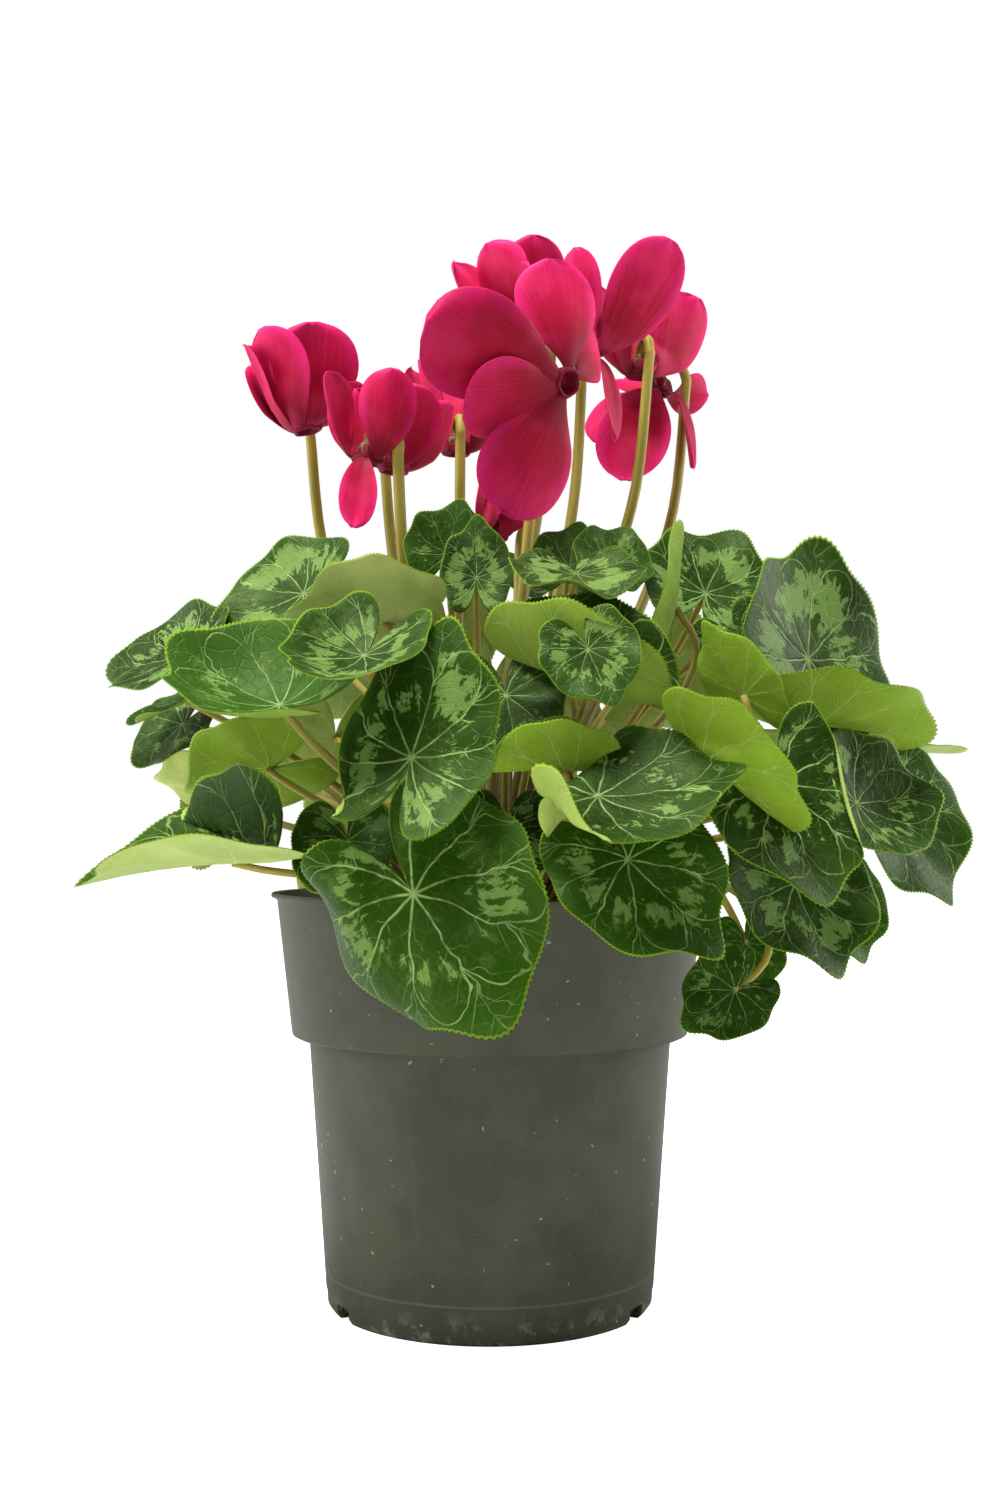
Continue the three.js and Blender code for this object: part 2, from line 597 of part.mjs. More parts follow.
// Stalk from its socket in the corm to the underside of the blade
function stalkPath(root, end, arrival, steps, reach) {
  const start = vec(root.x, root.y, CORM_MIDDLE + cormHeight(root.x, root.y));
  const outward = cormNormal(root.x, root.y);
  const length = start.distanceTo(end);
  const curve = new THREE.CubicBezierCurve3(
    start,
    start.clone().addScaledVector(outward, length * reach[0]),
    end.clone().addScaledVector(arrival, length * reach[1]),
    end,
  );
  return [start.clone().addScaledVector(outward, -ROOT_DEPTH), ...curve.getPoints(steps)];
}

function makeLeaf(leaf, root) {
  const { solid, axes } = makeBlade(leaf);
  const end = vec(...leaf.at).addScaledVector(axes.normal, -0.3);
  const [under, behind] = leaf.arrive ?? [0.8, 0.6];
  const arrival = axes.normal.clone().multiplyScalar(-under).addScaledVector(axes.tip, -behind);
  arrival.normalize();
  const path = stalkPath(root, end, arrival, LEAF_STALK_STEPS, leaf.reach ?? [0.4, 0.35]);
  const radii = path.map((_, i) => (i < path.length - 1 ? LEAF_STALK_RADIUS : LEAF_STALK_TIP_RADIUS));
  return solid.add(tube(path, radii, LEAF_STALK_SIDES));
}

// Flower: five petals round a throat, and a stalk that hooks over into the calyx

function flowerAxes(flower) {
  const azimuth = rad(flower.lean[0]);
  const lean = rad(flower.lean[1]);
  const side = rad(flower.side);
  const up = vec(Math.sin(lean) * Math.sin(azimuth), -Math.sin(lean) * Math.cos(azimuth), Math.cos(lean));
  const aside = vec(Math.sin(side), -Math.cos(side), 0);
  aside.addScaledVector(up, -aside.dot(up)).normalize();
  return { aside, back: up.clone().cross(aside), up };
}

function petalWidth(u) {
  const widest = 0.62;
  const swell = 0.14 + 0.86 * Math.sin((Math.PI / 2) * Math.min(u / widest, 1)) ** 1.2;
  const end = Math.max(u - widest, 0) / (1 - widest);
  return swell * Math.sqrt(Math.max(1 - end ** 2.4, 0));
}

// A point of a petal's middle surface: u along it from 0 to 1, v across from -1 to 1
function petalPoint(flower, axes, petal, u, v) {
  const [azimuth, base, tip, twist, length, width] = petal;
  const steps = 12;
  let out = THROAT_RADIUS - 1.2;
  let high = 0.8;
  const opening = (s) => rad(tip + (base - tip) * Math.exp(-s / 0.16));
  for (let i = 0; i < steps; i += 1) {
    const angle = opening(((i + 0.5) / steps) * u);
    out += (length * u * Math.sin(angle)) / steps;
    high += (length * u * Math.cos(angle)) / steps;
  }
  const turn = rad(azimuth);
  const radial = axes.aside.clone().multiplyScalar(Math.cos(turn)).addScaledVector(axes.back, Math.sin(turn));
  const around = axes.aside.clone().multiplyScalar(-Math.sin(turn)).addScaledVector(axes.back, Math.cos(turn));
  const angle = opening(u);
  const outward = radial.clone().multiplyScalar(Math.cos(angle)).addScaledVector(axes.up, -Math.sin(angle));
  const spin = rad(twist) * Math.min(u * 3, 1);
  const sideways = around.clone().multiplyScalar(Math.cos(spin)).addScaledVector(outward, Math.sin(spin));
  const facing = outward.clone().multiplyScalar(Math.cos(spin)).addScaledVector(around, -Math.sin(spin));
  const half = (width / 2) * petalWidth(u);
  return vec(...flower.at)
    .addScaledVector(radial, out)
    .addScaledVector(axes.up, high)
    .addScaledVector(sideways, half * v)
    .addScaledVector(facing, -0.22 * half * v * v);
}

function makePetal(flower, axes, petal) {
  const rows = PETAL_STEPS + 1;
  const columns = PETAL_COLUMNS + 1;
  const upper = [];
  const lower = [];
  for (let i = 0; i < rows; i += 1) {
    for (let j = 0; j < columns; j += 1) {
      const u = (i / PETAL_STEPS) * 0.985;
      const v = (j / PETAL_COLUMNS) * 2 - 1;
      const step = 0.01;
      const middle = petalPoint(flower, axes, petal, u, v);
      const alongU = petalPoint(flower, axes, petal, u + step, v)
        .sub(petalPoint(flower, axes, petal, Math.max(u - step, 0), v));
      const alongV = petalPoint(flower, axes, petal, u, v + step)
        .sub(petalPoint(flower, axes, petal, u, v - step));
      const normal = alongV.cross(alongU).normalize();
      upper.push(middle.clone().addScaledVector(normal, PETAL_THICKNESS / 2));
      lower.push(middle.addScaledVector(normal, -PETAL_THICKNESS / 2));
    }
  }
  const under = upper.length;
  const triangles = [];
  const quad = (a, b, c, d) => triangles.push([a, b, c], [a, c, d]);
  for (let i = 0; i < rows - 1; i += 1) {
    for (let j = 0; j < columns - 1; j += 1) {
      const a = i * columns + j;
      const b = a + 1;
      const c = b + columns;
      const d = a + columns;
      quad(a, b, c, d);
      triangles.push([under + a, under + c, under + b], [under + a, under + d, under + c]);
    }
  }
  const rim = [];
  for (let j = 0; j < columns; j += 1) {
    rim.push(j);
  }
  for (let i = 1; i < rows; i += 1) {
    rim.push(i * columns + columns - 1);
  }
  for (let j = columns - 2; j >= 0; j -= 1) {
    rim.push((rows - 1) * columns + j);
  }
  for (let i = rows - 2; i > 0; i -= 1) {
    rim.push(i * columns);
  }
  rim.forEach((a, i) => {
    const b = rim[(i + 1) % rim.length];
    quad(b, a, under + a, under + b);
  });
  return solidFrom([...upper, ...lower], triangles);
}

function makeThroat(flower, axes) {
  const geometry = turned([
    [0, THROAT_DEPTH],
    [THROAT_RADIUS * 0.7, THROAT_DEPTH],
    [THROAT_RADIUS, 0],
    [THROAT_RADIUS - THROAT_WALL, 0],
    [0, THROAT_DEPTH - THROAT_WALL],
  ].reverse(), THROAT_SIDES);
  const place = new THREE.Matrix4().makeBasis(axes.aside, axes.back, axes.up);
  place.setPosition(...flower.at);
  geometry.applyMatrix4(place);
  return solidFromGeometry(geometry);
}

function makeFlower(flower, root) {
  const axes = flowerAxes(flower);
  let petals = makeThroat(flower, axes);
  for (const petal of flower.petals) {
    petals = petals.add(makePetal(flower, axes, petal));
  }
  const place = ([aside, up]) => vec(...flower.at)
    .addScaledVector(axes.aside, aside)
    .addScaledVector(axes.up, up);
  const seat = place([0, THROAT_DEPTH + SEAT_GAP]);
  const path = flower.arrive
    ? stalkPath(root, place(STRAIGHT_FOOT), vec(...flower.arrive), FLOWER_STALK_STEPS + 1, [0.5, 0.2])
    : stalkPath(root, place(HOOK_FOOT), vec(0, 0, -1), FLOWER_STALK_STEPS, [0.35, 0.4]);
  path.push(...(flower.arrive ? HOOK.slice(-1) : HOOK).map(place), seat);
  const radii = path.map((_, i) => (i < path.length - 1 ? FLOWER_STALK_RADIUS : FLOWER_STALK_RADIUS + 0.8));
  return { petals, stalk: tube(path, radii, FLOWER_STALK_SIDES) };
}

// Assembly

const cyclamen = new THREE.Group();
cyclamen.add(meshFrom("pot", makePot(), materials.pot));
cyclamen.add(meshFrom("soil", makeSoil(), materials.soil));

const tufts = Object.entries(LEAVES).flatMap(([region, rows]) => rows.map((leaves, i) => (
  { leaves, name: `leaf_${region}_${String(i + 1).padStart(2, "0")}` }
)));
const middleOf = (leaves) => [0, 1, 2].map((k) => (
  leaves.reduce((sum, leaf) => sum + leaf.at[k], 0) / leaves.length
));
const targets = [...FLOWERS.map((flower) => flower.at), ...tufts.map(({ leaves }) => middleOf(leaves))];
const roots = spreadRoots(targets);
let corm = solidFromGeometry(turned(cormProfile(0), CORM_SIDES));
const socket = (root, radius, sides) => {
  const middle = vec(root.x, root.y, CORM_MIDDLE + cormHeight(root.x, root.y));
  const outward = cormNormal(root.x, root.y);
  const ends = [-ROOT_DEPTH - SEAT_GAP, 4].map((step) => middle.clone().addScaledVector(outward, step));
  corm = corm.subtract(tube(ends, [radius, radius], sides));
};
FLOWERS.forEach((flower, i) => {
  const { petals, stalk } = makeFlower(flower, roots[i]);
  const name = `flower_${String(i + 1).padStart(2, "0")}`;
  cyclamen.add(meshFrom(`${name}_petals`, petals, materials.petal));
  cyclamen.add(meshFrom(`${name}_stalk`, stalk, materials.stalk));
  socket(roots[i], FLOWER_STALK_RADIUS + SEAT_GAP / Math.cos(Math.PI / 4), FLOWER_STALK_SIDES);
});
tufts.forEach(({ leaves, name }, i) => {
  const root = roots[FLOWERS.length + i];
  const solid = leaves.map((leaf) => makeLeaf(leaf, root)).reduce((all, next) => all.add(next));
  cyclamen.add(meshFrom(name, solid, materials.leaf));
  socket(root, LEAF_STALK_RADIUS + SEAT_GAP / Math.cos(Math.PI / 4), LEAF_STALK_SIDES);
});
cyclamen.add(meshFrom("corm", corm, materials.corm));

export default cyclamen;
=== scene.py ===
"""Potted cyclamen: finer pot, soil, corm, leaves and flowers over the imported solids, and their finishes.

Lengths in the tables are millimetres and angles are degrees; metres are used from the mesh on.
The front is -Y, azimuths run 0 front, 90 right, and the pot's axis is the Z axis.
"""
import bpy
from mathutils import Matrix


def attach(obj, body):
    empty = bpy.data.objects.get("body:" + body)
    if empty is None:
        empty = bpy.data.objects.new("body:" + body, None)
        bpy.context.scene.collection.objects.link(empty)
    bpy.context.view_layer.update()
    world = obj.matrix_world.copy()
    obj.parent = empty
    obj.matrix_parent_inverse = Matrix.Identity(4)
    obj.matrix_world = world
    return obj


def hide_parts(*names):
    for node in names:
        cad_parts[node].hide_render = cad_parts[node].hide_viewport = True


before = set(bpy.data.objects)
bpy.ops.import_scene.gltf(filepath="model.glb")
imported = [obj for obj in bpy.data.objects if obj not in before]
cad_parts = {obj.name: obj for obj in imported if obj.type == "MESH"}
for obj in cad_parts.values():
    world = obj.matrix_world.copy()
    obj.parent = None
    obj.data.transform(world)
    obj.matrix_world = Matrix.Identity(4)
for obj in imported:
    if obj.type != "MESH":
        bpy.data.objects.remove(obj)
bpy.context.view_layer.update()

from types import SimpleNamespace

import bpy
import numpy as np
from mathutils import Vector

MM = 0.001
STALK_SLOT = "stalk"
NEAR = 0.01
SEEDS = 40
draws = np.random.default_rng(11)

# Pot, soil and corm, as in the solids
POT_HEIGHT = 129.5
LIP_RADIUS = 70
BAND_TOP_RADIUS = 68
BAND_FOOT_RADIUS = 63.3
BAND_FOOT_HEIGHT = 85
BODY_TOP_RADIUS = 57.7
BASE_RADIUS = 51.4
POT_WALL = 1.6
POT_FLOOR = 2
POT_EDGE = 0.4
POT_COLUMNS = 160
BEVEL_ANGLE = 35
SHARP_ANGLE = 50
SEAM_HEIGHT = 11.5
SLOT_AZIMUTHS = (-60, 60, 180)
SLOT_WIDTH = 8
SLOT_HEIGHT = 4.5
SEAT_GAP = 0.3
SOIL_TOP = 115
SOIL_RINGS = 36
SOIL_COLUMNS = 144
SOIL_SPAN = 64
LOOSE_CRUMBS = 90
CORM_RADIUS = 31
CORM_MIDDLE = 111
CORM_RISE = 17
CORM_DEPTH = 14
CORM_RINGS = 40
CORM_COLUMNS = 96
CORM_SKIN = 0.97

# Crumbs on the soil: width, how many, height
CRUMBS = ((5, 40, 1.6), (1.8, 500, 0.9))

# Where stalks leave the corm
ROOT_SPACING = 6.2
ROOT_LIMIT = 27.5
ROOT_DEPTH = 3.5
ROOT_ROUNDS = 200

# Blades: half thickness, columns round the rim, teeth and ripples, and shares of the reach at rings
BLADE_HALF = 0.34
BLADE_COLUMNS = 300
SMALL_BLADE_COLUMNS = 200
SMALL_LEAF = 30
TOOTH_DEPTH = 0.017
RIPPLES = (3, 7, 11)
RIPPLE_DEPTH = 0.008
UPPER_RINGS = np.array([0.05, 0.14, 0.24, 0.34, 0.44, 0.54, 0.64, 0.74, 0.83, 0.91, 0.97])
UNDER_RINGS = np.array([0.97, 0.88, 0.7, 0.48, 0.26, 0.06])
VEIN_STEP = 40
QUILT = 0.022

# Stalks and petals
LEAF_STALK_RADIUS = 1.45
LEAF_STALK_TAPER = 0.72
LEAF_STALK_RIPENESS = 0.7
LEAF_STALK_GAP = 0.3
FLOWER_STALK_RADIUS = 1.9
STALK_SIDES = 14
THROAT_RADIUS = 5
THROAT_DEPTH = 6
THROAT_COLUMNS = 40
CALYX_COLUMNS = 60
PETAL_HALF = 0.3
PETAL_RINGS = 28
PETAL_COLUMNS = 36
PETAL_BEND = 0.16
BEND_SAMPLES = 12
PETAL_HOLLOW = 0.22
WIDEST = 0.62

# Leaf tones: silver patches, freshness of the upper side, freshness of the underside. The last two also
# carry painted light and shade: a dull upper side (deep) is painted shade for leaves that lie in shade,
# and a fresh underside (lime) is painted light shining through the leaf
TONES = {
    "vivid": (0.5, 0.5, 0.7),
    "mid": (0.45, 0.35, 0.4),
    "deep": (0.45, 0.12, 0.5),
    "silver": (0.75, 0.25, 0.5),
    "hazy": (0.6, 0.05, 0.3),
    "grey": (1.0, 0.1, 0.5),
    "olive": (0.6, 0.0, 0.75),
    "bright": (0.5, 0.9, 0.8),
    "lime": (0.4, 0.6, 0.9),
    "pale": (0.5, 0.3, 0.2),
}


def leaf(at, face, tip, size, tone, form=(0.1, 0.1, 0, 0), wave=(5, 0.05, 0), breadth=1, rolls=(),
         arrive=(0.8, 0.6), reach=(0.4, 0.35)):
    """One leaf, in the terms of the solids: at is the junction of blade and stalk, face the azimuth
    and elevation of the upper side, tip the turn of the tip from downhill to the right, form the cup,
    fold, lift of the lobes and droop of the tip, wave the rim's count, depth and start, and rolls
    their direction, offset, radius and angle. Arrive is how far the stalk comes from under the blade
    and from behind its notch, and reach how far it runs straight at either end."""
    return SimpleNamespace(at=np.array(at), face=face, tip=tip, size=size, form=form, wave=wave,
                           tone=tone, breadth=breadth, rolls=rolls, arrive=arrive, reach=reach)


def flower(at, lean, side, petals, arrive=None):
    """One flower: at is the mouth, lean the azimuth and angle from upright, side the stalk's azimuth;
    a petal is its azimuth, opening at base and tip, twist, length and width."""
    return SimpleNamespace(at=np.array(at), lean=lean, side=side, petals=petals, arrive=arrive)


# Form of a leaf whose tip droops
HUNG = (0.1, 0.1, 0, 0.1)

# Leaves and flowers, with the places and forms of the solids
LEAVES = {
    "left": [
        [leaf((-20, -90, 132), (-8, 12), 36, 46, "vivid", (0.05, -0.1, 0, 0.1), (5, 0.05, 1),
            rolls=[(90, 0.25, 0.3, -60)])],
        [leaf((-21, -85, 169), (-12, 20), 168, 42, "silver", (0.1, 0.1, 0.5, 0), (4, 0.04, 0),
            breadth=0.78, rolls=[(-90, 0.3, 0.15, 60)]),
         leaf((-40, -66, 146), (-15, 12), 10, 21, "vivid", (0.35, 0.1, 0, 0), (7, 0.12, 0))],
        [leaf((-35, -74, 198), (-5, 50), -25, 31, "silver", (0.5, 0.1, 0, 0), (5, 0.04, 0),
            breadth=0.85)],
        [leaf((-60, -62, 185), (-10, 56), -112, 38, "bright", (0.45, 0.2, 0, 0), (5, 0.04, 0))],
        [leaf((-68, -28, 168), (185, 50), 60, 30, "lime", wave=(5, 0.06, 0))],
        [leaf((-98, -15, 204), (-40, 45), -75, 29, "hazy", (0.1, 0.2, 0, 0)),
         leaf((-98, -2, 191), (-60, 60), -40, 22, "bright")],
        [leaf((-59, -14, 224), (-25, 35), -60, 32, "silver")],
        [leaf((-31, -44, 211), (180, 50), 90, 31, "pale", wave=(4, 0.05, 0))],
        [leaf((-13, -27, 235), (-10, 15), 170, 18, "vivid", (0.1, 0.3, 0, 0), (5, 0.06, 0)),
         leaf((-4, -36, 226), (0, 15), 180, 20, "grey", breadth=0.75)],
        [leaf((-74, -58, 140), (-20, 78), -80, 48, "mid", (0, 0.45, 0, 0.1), (3, 0.04, 0),
            rolls=[(135, 0.12, 0.12, 75)], arrive=(0.3, 0.95))],
        [leaf((-102, 12, 184), (-30, 35), -30, 21, "hazy"),
         leaf((-96, 16, 165), (165, 45), 90, 18, "pale")],
    ],
    "right": [
        [leaf((26, -47, 225), (5, 65), 5, 28, "grey", (0.1, 0.1, 0.1, 0), (5, 0.08, 0))],
        [leaf((25, -16, 232), (0, 30), 170, 18, "vivid", wave=(5, 0.06, 0)),
         leaf((38, -18, 233), (20, 35), 150, 18, "vivid", wave=(5, 0.06, 0))],
        [leaf((56, -40, 216), (-100, 10), 160, 27, "bright", wave=(5, 0.04, 0))],
        [leaf((69, -8, 225), (15, 35), 150, 31, "silver"),
         leaf((80, -18, 206), (10, 20), 30, 25, "hazy")],
        [leaf((96, -38, 201), (35, 12), 165, 40, "grey", wave=(4, 0.06, 0)),
         leaf((97, -38, 179), (180, 70), -80, 41, "lime", (0.05, 0.2, 0, 0), (4, 0.06, 0),
            arrive=(0.9, 0.3), reach=(0.3, 0.2))],
        [leaf((123, 9, 176), (90, 86), 0, 34, "mid", (0.05, 0.05, 0, 0), (5, 0.02, 0))],
        [leaf((22, -66, 193), (48, 68), 28, 41, "olive", (0, 0, 0, 0), (4, 0.03, 0), arrive=(1, -0.9),
            rolls=[(90, 0.02, 0.15, 60), (-90, 0.02, 0.15, 64)]),
         leaf((27, -90, 198), (0, 20), 20, 19, "silver", arrive=(0.9, -0.4)),
         leaf((5, -60, 188), (-5, 25), 10, 24, "deep")],
        [leaf((21, -81, 166), (0, 80), -90, 26, "lime", (0, 0, 0, 0), (5, 0.04, 0),
            rolls=[(-90, 0.05, 0.15, 70), (90, 0.05, 0.15, 50)]),
         leaf((29, -100, 158), (5, 50), 88, 40, "deep", (0.3, 0, 0, 0), (5, 0.04, 0), breadth=0.85,
            rolls=[(150, 0.3, 0.12, 70), (-135, 0.14, 0.12, -110)], arrive=(0.8, 0),
            reach=(0.45, 0.12)),
         leaf((38, -86, 141), (0, 20), 42, 36, "vivid", (0.05, 0.1, 0, 0.1), (5, 0.07, 0),
            breadth=0.85),
         leaf((5, -70, 149), (0, 20), 0, 20, "hazy")],
        [leaf((59, -86, 168), (135, 40), -38, 33, "lime", (0.1, 0, 0, 0), (5, 0.03, 0),
            arrive=(0.3, 0.3), reach=(0.4, 0.05)),
         leaf((81, -78, 162), (20, 22), 5, 38, "deep", wave=(4, 0.04, 0),
            rolls=[(-90, 0.4, 0.14, 120)])],
        [leaf((73, -64, 188), (150, 20), 155, 24, "lime", wave=(5, 0.04, 0), breadth=0.65,
            arrive=(0.2, 1), reach=(0.6, 0.35))],
        [leaf((107, -54, 157), (35, 30), 90, 29, "deep", (0.3, 0.1, 0, 0), (5, 0.04, 0)),
         leaf((127, -25, 154), (35, 15), 20, 32, "mid")],
        [leaf((86, -70, 134), (20, 30), 5, 31, "silver"),
         leaf((102, -53, 129), (25, 15), 10, 20, "bright")],
        [leaf((68, -78, 105), (-20, 20), -50, 18, "mid", arrive=(0.3, 1), reach=(0.75, 0.5)),
         leaf((73, -66, 117), (15, 15), 10, 15, "bright", arrive=(0.3, 1), reach=(0.75, 0.5))],
    ],
    "back": [
        [leaf((22, 60, 238), (10, 60), 170, 30, "hazy")],
        [leaf((-58, 50, 207), (215, 45), 0, 38, "silver", HUNG, (5, 0.06, 0)),
         leaf((-54, 38, 181), (195, 40), 0, 30, "deep", wave=(5, 0.05, 1))],
        [leaf((0, 74, 203), (180, 45), 10, 38, "mid", HUNG, (5, 0.06, 1)),
         leaf((-16, 56, 222), (185, 35), 0, 29, "deep", wave=(5, 0.05, 2))],
        [leaf((60, 52, 207), (145, 45), 0, 38, "silver", HUNG, (5, 0.06, 2)),
         leaf((40, 52, 188), (170, 40), 0, 28, "deep", wave=(5, 0.05, 3))],
        [leaf((-90, 54, 164), (245, 30), 0, 34, "deep", HUNG, (5, 0.06, 3))],
        [leaf((-42, 94, 160), (205, 30), -10, 38, "mid", HUNG, (5, 0.06, 4))],
        [leaf((34, 100, 160), (165, 30), 10, 38, "silver", HUNG, (5, 0.06, 5))],
        [leaf((98, 60, 163), (125, 30), 0, 36, "deep", HUNG, (5, 0.06, 0))],
        [leaf((-50, 84, 134), (215, 20), 0, 30, "mid", HUNG, (5, 0.06, 1))],
        [leaf((2, 94, 130), (178, 20), 0, 32, "deep", HUNG, (5, 0.06, 2))],
        [leaf((54, 82, 134), (150, 20), 0, 30, "mid", HUNG, (5, 0.06, 3))],
    ],
}
FLOWERS = [
    flower((-61, 12, 282), (-90, 12), 180, [
        (66, 80, 8, 20, 30, 20), (108, 80, 8, 20, 34, 28), (152, 80, 10, 20, 36, 30),
        (214, 80, 14, 20, 35, 30), (272, 80, 60, 20, 21, 18)]),
    flower((-38, -26, 263), (90, 5), 90, [
        (66, 80, 10, 20, 28, 18), (124, 80, 10, 20, 28, 18), (180, 80, 10, 20, 30, 20),
        (265, 90, 168, 20, 27, 12), (306, 80, 0, 20, 30, 18)]),
    flower((-32, 6, 267), (90, 5), 200, [
        (58, 80, 10, 20, 28, 18), (118, 80, 15, 20, 28, 18), (180, 90, 20, 20, 30, 20),
        (242, 90, 20, 20, 28, 20), (302, 80, 10, 20, 28, 18)]),
    flower((-12, 34, 279), (20, 5), 10, [
        (58, 90, 15, 20, 34, 22), (118, 80, 15, 20, 32, 22), (180, 80, 15, 20, 34, 22),
        (242, 80, 15, 20, 34, 22), (302, 80, 15, 20, 34, 22)]),
    flower((1, 42, 252), (90, 20), 90, [
        (58, 80, 10, 20, 20, 12), (118, 80, 10, 20, 20, 12), (180, 80, 10, 20, 22, 12),
        (242, 80, 10, 20, 22, 12), (302, 80, 10, 20, 20, 12)]),
    flower((25, -24, 289), (-135, 72), -45, [
        (6, 90, 66, 15, 48, 34), (82, 90, 62, 15, 36, 28), (138, 90, 58, 15, 24, 20),
        (283, 90, 85, -15, 42, 34), (334, 90, 74, 15, 34, 28)], arrive=(0.05, 0.9, -0.4)),
    flower((12, 34, 320), (-90, 10), 90, [
        (58, 80, 10, 20, 32, 20), (118, 80, 10, 20, 32, 20), (194, 80, 22, 50, 34, 26),
        (242, 80, 10, 20, 34, 24), (302, 80, 10, 20, 34, 22)]),
    flower((31, 9, 305), (90, 2), 180, [
        (60, 80, 12, 20, 34, 18), (108, 80, 22, 20, 36, 22), (165, 80, 12, 20, 36, 18),
        (220, 90, 170, 20, 34, 12), (238, 80, 30, 35, 46, 24)]),
    flower((51, 29, 305), (90, 5), 15, [
        (80, 80, 14, 55, 34, 26), (125, 80, 16, 40, 34, 28), (180, 80, 15, 20, 34, 24),
        (236, 80, 12, 20, 36, 24), (290, 80, 8, 20, 32, 22)]),
    flower((60, 52, 305), (90, 5), 90, [
        (35, 90, 75, 60, 20, 16), (118, 90, 60, 20, 24, 20), (190, 90, 150, 40, 28, 20),
        (240, 90, 168, 20, 42, 26), (315, 90, 165, 20, 34, 14)]),
]


# Directions and curves

def even_angles(count):
    """Angles that divide the full turn evenly, from 0."""
    return np.arange(count) / count * 2 * np.pi


def stacked(*values):
    """Arrays stretched to one shape and set side by side, as points or faces."""
    return np.stack(np.broadcast_arrays(*values), axis=-1)


def unit(vectors):
    """Vectors divided by their own lengths, along the last axis."""
    return vectors / np.linalg.norm(vectors, axis=-1, keepdims=True)


def facing(azimuth, elevation):
    """Unit vector at an azimuth round Z and an elevation above level."""
    a, e = np.radians([azimuth, elevation])
    return np.array([np.cos(e) * np.sin(a), -np.cos(e) * np.cos(a), np.sin(e)])


def spread(values, *directions):
    """Sum of each array of values times its own fixed direction, one point per entry."""
    return sum(value[..., None] * direction for value, direction in zip(values, directions))


def smoothed(points, per_span):
    """Catmull-Rom curve through points: each span is the cubic whose end slopes are half the chord
    between the neighbours of its ends."""
    padded = np.concatenate([[2 * points[0] - points[1]], points, [2 * points[-1] - points[-2]]])
    a, b, c, d = (padded[i:len(padded) - 3 + i, None] for i in range(4))
    t = (np.arange(per_span) / per_span)[None, :, None]
    curve = b + 0.5 * t * (c - a + t * (2 * a - 5 * b + 4 * c - d + t * (3 * (b - c) + d - a)))
    return np.concatenate([curve.reshape(-1, 3), points[-1:]])


def bezier(corners, steps):
    """Cubic Bezier curve: its four corners weighed by the Bernstein polynomials of t."""
    t = np.linspace(0, 1, steps + 1)[:, None]
    a, b, c, d = corners
    return (1 - t)**3 * a + 3 * t * (1 - t)**2 * b + 3 * t**2 * (1 - t) * c + t**3 * d


# Closed surfaces and pieces

def shell(rings, first, last, **values):
    """Closed surface: rings of points that wrap round, with a fan to a single point at either end.

    rings is (rows, columns, 3) and each value gives three numbers per ring point; the end
    points take the mean of their ring. Faces are turned so that the enclosed volume is positive."""
    rows, columns, _ = rings.shape
    index = np.arange(rows * columns).reshape(rows, columns)
    right = np.roll(index, -1, axis=1)
    quads = stacked(index[:-1], right[:-1], right[1:], index[1:]).reshape(-1, 4)
    first_fan = stacked(rows * columns, right[0], index[0])
    last_fan = stacked(rows * columns + 1, index[-1], right[-1])
    fans = np.concatenate([first_fan, last_fan])
    points = np.concatenate([rings.reshape(-1, 3), [first, last]])
    corners = points[np.concatenate([quads[:, :3], quads[:, [0, 2, 3]], fans])]
    volume = np.einsum("ij,ij->", corners[:, 0], np.cross(corners[:, 1], corners[:, 2]))
    if volume < 0:
        quads = quads[:, ::-1]
        fans = fans[:, ::-1]
    filled = {}
    for name, value in values.items():
        value = np.broadcast_to(value, rings.shape)
        filled[name] = np.concatenate([value.reshape(-1, 3), [value[0].mean(0), value[-1].mean(0)]])
    return dict(points=points, quads=quads, fans=fans, values=filled)


def turned_rings(profile, columns):
    """Rings of a profile of (radius, height) points turned round the Z axis."""
    radius, height = np.array(profile, dtype=float).T[:, :, None]
    turn = even_angles(columns)
    return stacked(radius * np.sin(turn), -radius * np.cos(turn), height)


def piece(name, shells, material, slot, *nodes):
    """One object made of closed shells, riding on the root in place of its solids."""
    points, faces, start = [], [], 0
    for part in shells:
        points.append(part["points"])
        faces += (part["quads"] + start).tolist() + (part["fans"] + start).tolist()
        start += len(part["points"])
    mesh = bpy.data.meshes.new(name)
    mesh.from_pydata(np.concatenate(points) * MM, [], faces)
    for key in shells[0]["values"]:
        layer = mesh.attributes.new(key, "FLOAT_VECTOR", "POINT")
        values = np.concatenate([part["values"][key] for part in shells])
        layer.data.foreach_set("vector", values.ravel())
    mesh.shade_smooth()
    mesh.materials.append(material)
    made = bpy.data.objects.new(name, mesh)
    bpy.context.collection.objects.link(made)
    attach(made, "root")
    if nodes:
        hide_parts(*nodes)
    return made


def tube(path, radii, seed, ripeness=1.0):
    """Closed tube: circles of the given radii square to the path, on the two directions across it
    that come from the one direction in which the path runs least. Its tone follows its share of the
    way, up to the given ripeness."""
    along = unit(np.gradient(path, axis=0))
    least = np.linalg.svd(along, full_matrices=False)[2][-1]
    across = unit(np.cross(along, least))
    third = np.cross(across, along)
    angle = even_angles(STALK_SIDES)
    circle = np.cos(angle)[:, None] * across[:, None] + np.sin(angle)[:, None] * third[:, None]
    rings = path[:, None] + radii[:, None, None] * circle
    share = np.linspace(0, ripeness, len(path))
    run = stacked(share[:, None], np.cos(angle), seed)
    return shell(rings, path[0], path[-1], run=run)


# Corm and the places where stalks leave it

def corm_height(x, y):
    """Height of the corm's upper half over its middle: an ellipsoid's."""
    return CORM_RISE * np.sqrt(1 - (x * x + y * y) / CORM_RADIUS**2)


